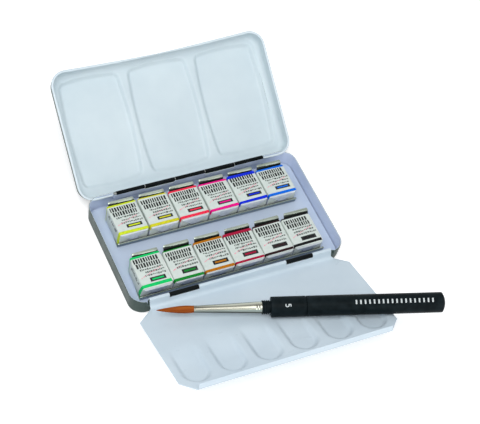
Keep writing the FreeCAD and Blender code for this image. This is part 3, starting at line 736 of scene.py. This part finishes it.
# painted highlight where an upper flap turns over at the top
paper("paper_painted_highlight", (222, 230, 234), (240, 244, 246))
print_ink("ink_heavy", (10, 14, 14), (40, 46, 44))
# the fine ink also draws painted shadow lines along the flaps' edges
print_ink("ink_fine_and_shadow", (58, 66, 64), (130, 138, 132))
print_ink("ink_pink", (240, 120, 150), (238, 190, 198))
# material numbers of a parcel's mesh, the last two painted shade and painted highlight on the
# paper
PAPER, BAND, HEAVY, FINE_INK_AND_SHADOW, PINK, PAPER_SHADE, PAPER_HIGHLIGHT = range(7)
# of each parcel: its ink; how far its top leans out in front and behind; the front band's
# distance from the edge and both bands' widths; how far right its front and back end sit
PARCELS = [
    ("lemon", (216, 234, 48), (0.1, 1.05), (0.2, 1.75, 1.3), (-0.1, -0.3)),
    ("golden", (218, 214, 44), (0.1, 1.1), (0.2, 1.75, 1.0), (0.0, 0.0)),
    ("scarlet", (252, 50, 82), (0.4, 0.8), (0.5, 1.6, 1.6), (0.1, 0.1)),
    ("magenta", (246, 18, 144), (0.5, 0.3), (0.35, 1.6, 1.4), (0.2, 0.2)),
    ("ultramarine", (6, 44, 226), (0.2, 0.95), (0.3, 1.6, 2.1), (0.1, 0.1)),
    ("sky", (6, 112, 236), (0.25, 0.2), (0.3, 1.6, 1.5), (0.0, 0.0)),
    ("emerald", (14, 210, 108), (1.15, 1.3), (1.0, 1.75, 1.5), (-1.2, -0.9)),
    ("dark_green", (14, 134, 44), (1.7, 0.05), (0.35, 1.6, 1.0), (-1.0, -0.4)),
    ("ochre", (190, 116, 10), (1.5, 0.35), (0.5, 1.5, 1.6), (-0.75, -0.3)),
    ("crimson", (176, 16, 60), (1.5, 0.5), (0.8, 1.2, 2.1), (-0.8, -0.5)),
    ("umber", (44, 20, 24), (1.5, 0.5), (0.8, 1.35, 1.25), (-1.0, -0.5)),
    ("black_paint", (14, 14, 17), (1.2, 0.5), (1.1, 1.5, 1.0), (-1.0, -0.8))]


FRONT_R, BACK_R, SIDE_R, FOOT_R = 0.8, 0.35, 0.55, 0.35  # how round a parcel's edges are
WRAP_SLACK, BAND_LOW = 0.1, 2.4  # the paper is narrower by this; bands end this far down
# how far the paper stands out at the sides of a parcel: inside a row, and at its ends
SWELL, SWELL_LEFT, SWELL_FRONT_LEFT, SWELL_RIGHT = 0.12, 0.55, 0.9, 0.45
# parcels whose upper flaps have a longer first step, and that step on the others and on them; the
# first step is painted highlight
HIGHLIGHT_FLAPS, FLAP_STEP, HIGHLIGHT_FLAP_STEP = (7, 10, 11, 12), 0.12, 0.22
# the print, as rows (left end, distance from the middle, shortest, longest)
HEADER_H, HEADER = 2.4, [(-7.4, 6.05, 13.9, 14.7), (-6.9, 3.35, 13.4, 14.2)]
FINE_H, FINE_ROWS = 1.1, [(-5.6, 1.05), (-4.4, -0.75), (-3.8, -2.55)]
FRONT_HOLD, BACK_HOLD = 3.3, 6.2  # heights below which a lip and a tab hold the paper in


def parcel(number, ink_name, rgb, leans, widths, shifts):
    rnd = random.Random(40 + number)
    pick = rnd.uniform
    node = "wrapper_%02d" % number
    lo, hi = span(node)
    x0, yc, _ = (lo + hi) / 2
    w, d, h = WRAP_W / 2 - WRAP_SLACK, WRAP_D / 2, WRAP_H
    first, last = number % 6 == 1, number % 6 == 0
    bulge = {-1: SWELL_FRONT_LEFT if number == 7 else SWELL_LEFT if first else SWELL,
             1: SWELL_RIGHT if last else SWELL}
    waves = [(pick(0.2, 0.5), pick(0, 6.3), pick(0.2, 0.5), pick(0, 6.3), pick(0.01, 0.035))
             for _ in range(5)]

    def crown(u, v):
        k = (1 - (u / w) ** 2) * (1 - (v / d) ** 2)
        return 0.10 * k + sum(a * sin(p * u + q) * sin(r * v + s)
                              for p, q, r, s, a in waves) * min(1, 3 * max(k, 0))

    slant = (pick(-0.02, 0.02), pick(-0.02, 0.02))
    f_off, f_wide, b_wide = widths
    b_off = pick(0.0, 0.12)
    b_wide += pick(-0.05, 0.05)

    def stations(r, off, wide):
        """(length along the paper, distance from the end, depth) down over an end's edge."""
        arc = r * pi / 2
        out = []
        for a in sorted({0, arc * 0.25, arc * 0.5, arc * 0.75, arc, off, off + wide, 2.6, 3.4}):
            t = min(a, arc) / r
            out.append((a, r * (1 - cos(t)) + max(a - arc, 0), r * (1 - sin(t))))
        return out

    def swell(side, t, v):
        """How far a side stands out at share t of its height."""
        return bulge[side] * sin(pi * t ** 0.7) * (1 - (v / d) ** 6)

    def section(v, top_in, end_in):
        """Ring of (u, z) at a station; end_in shrinks it where the end is rounded."""
        ww, top, foot = w - end_in, h - top_in, min(end_in, FOOT_R)
        pts = [(t * (ww - FOOT_R), foot) for t in linspace(-1, 1, 5)[:-1]]
        for side in (1, -1):
            col = [(ww - FOOT_R + FOOT_R * sin(a), foot + FOOT_R - FOOT_R * cos(a))
                   for a in linspace(0, pi / 2, 4)]
            col += [(ww + swell(side, t, v), foot + FOOT_R + t * (top - SIDE_R - foot - FOOT_R))
                    for t in linspace(0, 1, 8)[1:-1]]
            col += [(ww - SIDE_R + SIDE_R * cos(a), top - SIDE_R + SIDE_R * sin(a))
                    for a in linspace(0, pi / 2, 5)]
            if side > 0:
                lift = 1 if top_in == 0 else 0.3
                us = [t * (ww - SIDE_R) for t in linspace(1, -1, 19)[1:-1]]
                pts += col + [(u, top + crown(u, v) * lift) for u in us]
            else:
                pts += [(-a, b) for a, b in reversed(col)]
        return pts

    mesh = Mesh()
    rows, kind = [], []

    def end_rows(side, places, r, slope):
        for s_len, away, top_in in places:
            near = max(SIDE_R - away, 0)
            end_in = max(0, SIDE_R - sqrt(max(SIDE_R ** 2 - near ** 2, 0)))
            v = side * (d - away)
            skew = slope if s_len >= r else 0
            rows.append([(u, v + skew * u, z) for u, z in section(v, top_in, end_in)])
            kind.append((side, s_len))

    end_rows(-1, stations(FRONT_R, f_off, f_wide), FRONT_R, slant[0])
    for v in linspace(-d + 4.5, d - 4.5, 7):
        rows.append([(u, v, z) for u, z in section(v, 0.0, 0.0)])
        kind.append((0, 0))
    end_rows(1, reversed(stations(BACK_R, b_off, b_wide)), BACK_R, slant[1])
    bands = {-1: (f_off, f_off + f_wide), 1: (b_off, b_off + b_wide)}

    def ink(i, j):
        (side, a), (other, b) = kind[i], kind[i + 1]
        low = max(rows[i][j][2], rows[i][(j + 1) % len(rows[i])][2]) < h - BAND_LOW
        if low and not (first and rows[i][j][0] < 0):
            # painted shade on the low sides that face a neighbour
            return PAPER_SHADE if abs(rows[i][j][0]) > w - 0.3 else PAPER
        if side != other or side == 0:
            return PAPER
        start, end = bands[side]
        return BAND if min(a, b) > start - 1e-6 and max(a, b) < end + 1e-6 else PAPER

    mesh.grid(rows, ink, closed=True)
    for row, v in ((rows[0], -d), (rows[-1], d)):
        mesh.fan(row, (0, v, h * 0.45))

    def flap(side, rows):
        """Folded flap on an end face, given as (z, half width, outward swell) rows."""
        grid = []
        for z, half_u, out in [(*rows[0][:2], -0.02)] + rows + [(*rows[-1][:2], -0.02)]:
            grid.append([(t * half_u, side * (d + (out if abs(t) < 1 else -0.02)), z)
                         for t in (-1, -0.985, -0.6, -0.2, 0.2, 0.6, 0.985, 1)])

        def tone(i, j):
            # painted shadow lines in the fine ink along a flap's edges and lowest row
            if j in (0, 6) or i == len(grid) - 2:
                return FINE_INK_AND_SHADOW
            # an upper flap's first two rows are painted highlight, the rest of a flap painted
            # shade
            return PAPER_HIGHLIGHT if i < 2 and len(grid) > 6 else PAPER_SHADE

        mesh.grid(grid, tone)

    second = HIGHLIGHT_FLAP_STEP if number in HIGHLIGHT_FLAPS else FLAP_STEP
    for side, r in ((-1, FRONT_R), (1, BACK_R)):
        drop, lift = pick(4.6, 5.2), pick(0.55, 0.7)
        z = h - r - 0.05
        flap(side, [(0.4, w - 0.6, 0.08), (2.2, w - 2.6, 0.12), (3.9, w - 5.4, 0.2)])
        upper = []
        for k in (0, second, 0.4, 0.65, 0.9, 1.0):
            out = lift * (0.3 * k + 0.7 * sin(pi / 2 * min(k / 0.25, 1)))
            upper.append((z - k * drop, w - 0.3 - 6.6 * k ** 1.1, 0.04 + out))
        flap(side, upper)

    def patch(u, v, length, height, m, skew=0.0, lift=0.035):
        """A printed bar that follows the parcel's top."""
        count = max(1, round(length / 0.9))
        along = [length * t for t in linspace(0, 1, count + 1)]
        mesh.grid([[(u + a, e + skew * a, h + crown(u + a, e + skew * a) + lift) for a in along]
                   for e in (v - height / 2, v + height / 2)], m)

    def words(u, v, left, height, m, low, high, gap, skew=0.0, ragged=0.0):
        """A row of plain bars of uneven length."""
        while left > low:
            length = min(pick(low, high), left)
            tall = height * (1 - ragged * rnd.random())
            patch(u, v + (height - tall) * pick(-0.5, 0.5), length, tall, m, skew)
            u += length + gap
            v += skew * (length + gap)
            left -= length + gap

    for u, v, low, high in HEADER:
        words(u, v, pick(low, high), HEADER_H, HEAVY, 0.6, 1.1, 0.5)
    for u, v in FINE_ROWS:
        u += pick(-0.8, 0.9)
        words(u, v, pick(6.6, 7.4) - u, FINE_H, FINE_INK_AND_SHADOW, 0.4, 1.2, 0.3, ragged=0.5)
    words(-6.8, -3.4, 12.6, 0.45, PINK, 0.7, 1.7, 0.4, skew=0.33, ragged=0.4)
    patch(-2.7, -5.0, 8.6, 2.1, HEAVY)
    patch(-1.6, -5.0, 6.4, 0.8, BAND, lift=0.055)
    if first:  # print on the free left side
        side_h = h - SIDE_R - FOOT_R
        for k in range(16):
            v, z = 5.4 - 0.72 * k, h - 2.6 - 0.5 * rnd.random()
            tall, wide = pick(0.8, 1.8), pick(0.35, 0.55)
            if rnd.random() < 0.85:
                mesh.grid([[(-w - swell(-1, min(max((zz - FOOT_R) / side_h, 0), 1), vv) - 0.03,
                             vv, zz) for vv in (v, v + wide)] for zz in (z, z + tall)], FINE_INK_AND_SHADOW)

    def loose(p):
        """Paper stands out above the lip in front and above the tab behind."""
        u, v, z = p
        share = smooth(0, 1, abs(v) / d)
        u += shifts[0] + (shifts[1] - shifts[0]) * (v / d + 1) / 2
        if v < 0:
            v -= leans[0] * share * min(max((z - FRONT_HOLD) / (h - FRONT_HOLD), 0), 1)
        else:
            v += leans[1] * share * min(max((z - BACK_HOLD) / (h - BACK_HOLD), 0), 1)
        return u + x0, v + yc, z + SEAT_Z

    mesh.turn(loose)
    finish("band_" + ink_name, 0.42, (900, 3), [[0.86 * c for c in rgb], rgb],
           bumps=[((2600, 2), 0.12, 0.00002)], spec=0.15)
    # the front row takes the darker painted shade
    mats = ["paper", "band_" + ink_name, "ink_heavy", "ink_fine_and_shadow", "ink_pink",
            "paper_painted_shade" if number > 6 else "paper_painted_shade_pale", "paper_painted_highlight"]
    ob = make("parcel_%02d" % number, mesh, "pan_%02d" % number, mats, sharp=50)
    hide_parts(node)


# ---- brush
HAIR_L, HAIR_R, FERRULE_L, FERRULE_R0, FERRULE_R1 = 18.8, 1.8, 34.3, 1.72, 3.03
COLLAR_L, COLLAR_R, GRIP_L, HANDLE_R, TUBE_L = 4.4, 3.6, 18.1, 5.25, 71.3
TUBE_WALL, TUBE_DOME, NECK_R, NECK_L = 1.5, 1.7, 3.05, 0.7
FERRULE_GROOVES, GROOVE = (2.35, 1.05), 0.12  # back from the collar, and their depth
SPIGOT_L, SPIGOT_PLAY, PRINT_LIFT = 21.0, 0.05, 0.03
FIGURE_Z, FIGURE_TURN, FIGURE_STROKE = 7.1, 108.0, 0.24  # along the grip, round it, half width
TICKS, TICK_Z, TICK_PITCH, TICK_W, TICK_TURN, TICK_HALF = 18, 24.6, 2.3, 0.8, 109.0, 12.0
# how the brush lies on the leaf: turned by, tip's place across and down it, and its clearance
BRUSH_TURN, BRUSH_X, BRUSH_S, BRUSH_FREE = 20.85, -51.6, 10.1, 0.3


def brush_place():
    lean = Matrix.Rotation(radians(LEAF_OPEN), 4, "X")
    height = NECK_H - SHEET / 2 - HANDLE_R - BRUSH_FREE
    tip = lean @ Vector((BRUSH_X, BRUSH_S, height)) + Vector((0, FRONT_Y, FRONT_Z))
    way = (lean @ Vector((*unit(BRUSH_TURN), 0))).normalized()
    side = Vector((0, 0, 1)).cross(way).normalized()
    face = way.cross(side)
    m = Matrix((side, face, way)).transposed().to_4x4()
    m.translation = tip / 1000
    return m


def turned(profile, count, shape=None, caps=()):
    """Mesh of (radius, z) points turned about the axis.

    shape(radius, z, angle) may vary the radius; a cap (point, z) closes the ring of a point.
    """
    angles = [2 * pi * k / count for k in range(count)]
    rows = []
    for r, z in profile:
        radii = [shape(r, z, a) if shape else r for a in angles]
        rows.append([(q * cos(a), q * sin(a), z) for q, a in zip(radii, angles)])
    mesh = Mesh()
    mesh.grid(rows, closed=True)
    for k, z in caps:
        mesh.fan(rows[k], (0, 0, z))
    return mesh


def on_handle(a, z):
    """Point of the print on the handle at an angle."""
    r = HANDLE_R + PRINT_LIFT
    return r * cos(a), r * sin(a), z


def tick(mesh, z0):
    """Plain printed bar across the handle."""
    angles = [radians(TICK_TURN + TICK_HALF * t) for t in linspace(-1, 1, 9)]
    mesh.grid([[on_handle(a, z0 + z) for a in angles] for z in (0, TICK_W / 2, TICK_W)], 1)


def numeral(mesh, z0):
    """Plain figure 5, its top towards the end of the handle."""
    pts = [(1.48, 2.76), (0.4, 2.76), (0.288, 1.68), (0.76, 1.84), (1.2, 1.68), (1.48, 1.28),
           (1.52, 0.88), (1.32, 0.44), (0.92, 0.176), (0.52, 0.176), (0.16, 0.4)]
    line = []
    for a, b in zip(pts, pts[1:]):
        count = max(1, round(dist(a, b) / 0.3))
        line += list(linspace(a, b, count, endpoint=False))
    line.append(array(pts[-1]))
    rows = []
    for k, p in enumerate(line):
        t = line[min(k + 1, len(line) - 1)] - line[max(k - 1, 0)]
        n = array([-t[1], t[0]]) / norm(t) * FIGURE_STROKE
        rows.append([on_handle(radians(FIGURE_TURN) + x / HANDLE_R, z0 + y)
                     for x, y in (p - n, p, p + n)])
    mesh.grid(rows, 1)


STREAK = (900, 4, 0.7, (1, 1, 0.05), 0.3)
finish("hair", 0.6, STREAK, [(84, 34, 6), (140, 66, 14), (184, 104, 36)],
       bumps=[(STREAK, 0.7, 0.00012)], places=(0.25, 0.5, 0.8), spec=0.12)
# streaks along the ferrule: brushed lines in the metal, their spread from dark to bright a
# painted reflection
finish("nickel_streaks_and_reflection", 0.16, (330, 1, 0.5, (1, 1, 0.01)),
       [(60, 57, 50), (128, 128, 118), (198, 202, 188)], ((200, 3), 0.12, 0.24),
       [((1200, 3, 0.6, (1, 1, 0.02)), 0.15, 0.00001)], (0.38, 0.5, 0.6), metal=1.0)
finish("brush_black", 0.36, (200, 4), [(12, 19, 21), (26, 34, 37)], ((300, 3), 0.28, 0.4),
       [((1800, 2), 0.12, 0.00001)], spec=0.03)
finish("pale_print", 0.45, (2500, 2), [(170, 178, 178), (216, 222, 222)],
       places=(0.35, 0.65), spec=0.3)
HANDLE_FINISHES = ["brush_black", "pale_print"]
# the tuft as (share of its length, share of its radius), the last points inside the ferrule
TUFT = [(0.0, 0.05), (0.05, 0.2), (0.16, 0.4), (0.28, 0.58), (0.4, 0.74), (0.54, 0.89),
        (0.66, 0.98), (0.78, 1.03), (0.9, 1.01), (1.0, 0.93), (1.08, 0.9)]


def locks(r, z, a):
    """The tuft's radius, furrowed between its locks."""
    return r * (1 + 0.045 * sin(9 * a + 0.12 * z) + 0.03 * sin(23 * a + 0.3 * z)
                + 0.02 * sin(41 * a - 0.2 * z))


def brush_parts():
    at = brush_place()
    z1, z2, z3, z4, z5 = cumsum([HAIR_L, FERRULE_L, COLLAR_L, GRIP_L, TUBE_L])
    hair = turned([(HAIR_R * interp(z, *zip(*TUFT)), z * HAIR_L)
                   for z in linspace(0, TUFT[-1][0], 40)], 72, locks)
    ob = make("hair_tuft", hair, "brush", ["hair"], 0, at)
    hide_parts("brush_hair")
    prof = [(FERRULE_R0 + dr, z1 + dz) for dr, dz in
            ((-0.25, 0.25), (-0.12, 0), (0.02, 0.04), (0.08, 0.3), (0.01, 0.6))]
    for t in linspace(0.03, 0.90, 12):
        prof.append((FERRULE_R0 + (FERRULE_R1 - FERRULE_R0) * t, z1 + FERRULE_L * t))
    end = FERRULE_R1 - 0.02
    for back in FERRULE_GROOVES:
        prof += [(end, z2 - back - 0.25), (end - GROOVE, z2 - back), (end, z2 - back + 0.25)]
    ferrule = turned(prof + [(end, z2), (end - 0.6, z2 + 0.01)], 64)
    ob = make("ferrule_sleeve", ferrule, "brush", ["nickel_streaks_and_reflection"], 45, at)
    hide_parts("brush_ferrule")
    z_neck = z3 - NECK_L
    rib = (z_neck - z2) / 7
    prof = [(FERRULE_R1 - 0.4, z2), (COLLAR_R - 0.12, z2), (COLLAR_R, z2 + 0.12)]
    for i in range(3):
        a = z2 + (2 * i + 1) * rib
        prof += [(COLLAR_R, a - 0.06), (COLLAR_R - 0.34, a + 0.06),
                 (COLLAR_R - 0.34, a + rib - 0.06), (COLLAR_R, a + rib + 0.06)]
    prof += [(COLLAR_R, z_neck - 0.1), (COLLAR_R - 0.1, z_neck), (NECK_R, z_neck), (NECK_R, z3)]
    collar = turned(prof, 56)
    ob = make("collar_ribs", collar, "brush", ["brush_black"], 30, at)
    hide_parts("brush_collar")
    bore = HANDLE_R - TUBE_WALL
    spigot, z_end = bore - SPIGOT_PLAY, z4 + SPIGOT_L
    prof = [(NECK_R - 0.3, z3), (HANDLE_R - 0.5, z3), (HANDLE_R - 0.14, z3 + 0.12),
            (HANDLE_R, z3 + 0.5), (HANDLE_R, z4 - 0.35), (HANDLE_R - 0.2, z4 - 0.12),
            (HANDLE_R - 0.5, z4 - 0.1), (spigot, z4), (spigot, z_end - 0.4),
            (spigot - 0.5, z_end)]
    grip = turned(prof, 72, caps=[(-1, z_end)])
    numeral(grip, z3 + FIGURE_Z)
    ob = make("grip_body", grip, "brush", HANDLE_FINISHES, 35, at)
    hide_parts("brush_grip")
    dome = (HANDLE_R ** 2 + TUBE_DOME ** 2) / (2 * TUBE_DOME)
    z_dome, z_bore = z5 - TUBE_DOME, z5 - 2.4
    prof = [(bore, z_bore), (bore, z4 + 0.1), (bore + 0.25, z4), (HANDLE_R - 0.3, z4),
            (HANDLE_R, z4 + 0.25), (HANDLE_R, z_dome - 0.5), (HANDLE_R - 0.04, z_dome - 0.12),
            (HANDLE_R - 0.2, z_dome + 0.12)]
    a_end = asin(HANDLE_R / dome)
    for t in linspace(0.93, 0.04, 10):
        prof.append((dome * sin(a_end * t), z5 - dome + dome * cos(a_end * t)))
    tube = turned(prof, 72, caps=[(-1, z5), (0, z_bore)])
    for k in range(TICKS):
        tick(tube, z4 + TICK_Z + TICK_PITCH * k)
    ob = make("tube_body", tube, "brush_cap", HANDLE_FINISHES, 35, at)
    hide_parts("brush_tube")


base_piece()
liner_piece()
lid_piece()
leaf_piece()
rail_piece("rear_clip_rail", 1)
rail_piece("front_clip_rail", 7)
for i, values in enumerate(PARCELS, 1):
    parcel(i, *values)
brush_parts()


# ---- kept nodes' finishes
def wear(node, mat):
    me = NODES[node].data
    me.materials.clear()
    me.materials.append(mat)


finish("pan_plastic", 0.35, (120, 3), [(226, 228, 226), (238, 240, 238)],
       bumps=[((900, 2), 0.1, 0.00002)], spec=0.4)
for i, (ink_name, ink_rgb, *_) in enumerate(PARCELS, 1):
    wear("half_pan_%02d" % i, M["pan_plastic"])
    wear("paint_%02d" % i, finish(
        "paint_" + ink_name, 0.7, (500, 4), [[0.8 * c for c in ink_rgb], ink_rgb],
        bumps=[((700, 4, 0.6), 0.5, 0.0001)], spec=0.25))
for n in ("rear_hinge_pin", "front_hinge_pin"):
    wear(n, M["hinge_wire"])


# ---- camera, light and floor
CAMERA_TURN, CAMERA_DOWN, CAMERA_ROLL = 35.63, 51.31, 14.63
CAMERA_TARGET, CAMERA_AWAY, CAMERA_LENS = (0.02101, 0.01001, 0), 0.839, 116.0
WORLD_LIGHT, FLOOR_GLOW, FLOOR_HALF = 0.5, 0.42, 6
LAMPS = [("key", (-0.4, -0.35, 1.15), 0.8, 9.7), ("fill", (0.1, -1.3, 0.45), 0.9, 4.6)]


def camera():
    (cp, sp), (ce, se), (cr, sr) = map(unit, (CAMERA_TURN, CAMERA_DOWN, CAMERA_ROLL))
    fwd = Vector((sp * ce, cp * ce, -se))
    right = Vector((cp, -sp, 0))
    up = right.cross(fwd)
    m = Matrix((cr * right + sr * up, cr * up - sr * right, -fwd)).transposed().to_4x4()
    m.translation = Vector(CAMERA_TARGET) - fwd * CAMERA_AWAY
    cam = new_object("camera", bpy.data.cameras.new("camera"))
    cam.matrix_world = m
    cam.data.lens = CAMERA_LENS
    cam.data.sensor_width = 36
    cam.data.clip_start = 0.01
    bpy.context.scene.camera = cam


def seen_directly(tree):
    """1 for camera, glossy and transmission rays."""
    path = tree.nodes.new("ShaderNodeLightPath")
    last = path.outputs["Is Camera Ray"]
    for key in ("Is Glossy Ray", "Is Transmission Ray"):
        top = tree.nodes.new("ShaderNodeMath")
        top.operation = "MAXIMUM"
        tree.links.new(last, top.inputs[0])
        tree.links.new(path.outputs[key], top.inputs[1])
        last = top.outputs[0]
    return last


def studio():
    scene = bpy.context.scene
    world = bpy.data.worlds.new("studio")
    scene.world = world
    world.use_nodes = True
    t = world.node_tree
    soft = fill(t.nodes["Background"], Color=(0.93, 0.96, 1.0, 1), Strength=WORLD_LIGHT)
    white = add_node(t, "ShaderNodeBackground", Color=(1, 1, 1, 1), Strength=1.0)
    mix = t.nodes.new("ShaderNodeMixShader")
    for k, socket in enumerate((seen_directly(t), soft.outputs[0], white.outputs[0])):
        t.links.new(socket, mix.inputs[k])
    t.links.new(mix.outputs[0], t.nodes["World Output"].inputs["Surface"])
    for name, where, size, power in LAMPS:
        lamp = bpy.data.lights.new(name, "AREA")
        lamp.size = size
        lamp.energy = power
        ob = new_object(name, lamp)
        ob.location = where
        ob.rotation_euler = Vector(where).to_track_quat("Z", "Y").to_euler()
    floor = Finish("floor", 0.9, spec=0.1)
    floor.colour(floor.noise(6, 2), [(0.3, (0.9, 0.9, 0.9, 1)), (0.7, (0.93, 0.93, 0.93, 1))])
    glow = add_node(floor.tree, "ShaderNodeEmission", Color=(1, 1, 1, 1))
    mul = floor.tree.nodes.new("ShaderNodeMath")
    mul.operation = "MULTIPLY"
    mul.inputs[1].default_value = FLOOR_GLOW
    add = floor.tree.nodes.new("ShaderNodeAddShader")
    for a, b in ((seen_directly(floor.tree), mul.inputs[0]),
                 (mul.outputs[0], glow.inputs["Strength"]),
                 (floor.bsdf.outputs[0], add.inputs[0]), (glow.outputs[0], add.inputs[1]),
                 (add.outputs[0], floor.tree.nodes["Material Output"].inputs["Surface"])):
        floor.link(a, b)
    me = bpy.data.meshes.new("floor")
    corners = [(-1, -1), (1, -1), (1, 1), (-1, 1)]
    me.from_pydata([(x * FLOOR_HALF, y * FLOOR_HALF, 0) for x, y in corners], [], [(0, 1, 2, 3)])
    me.materials.append(floor.mat)
    ob = new_object("floor", me)
    scene.view_settings.view_transform = "Standard"


camera()
studio()
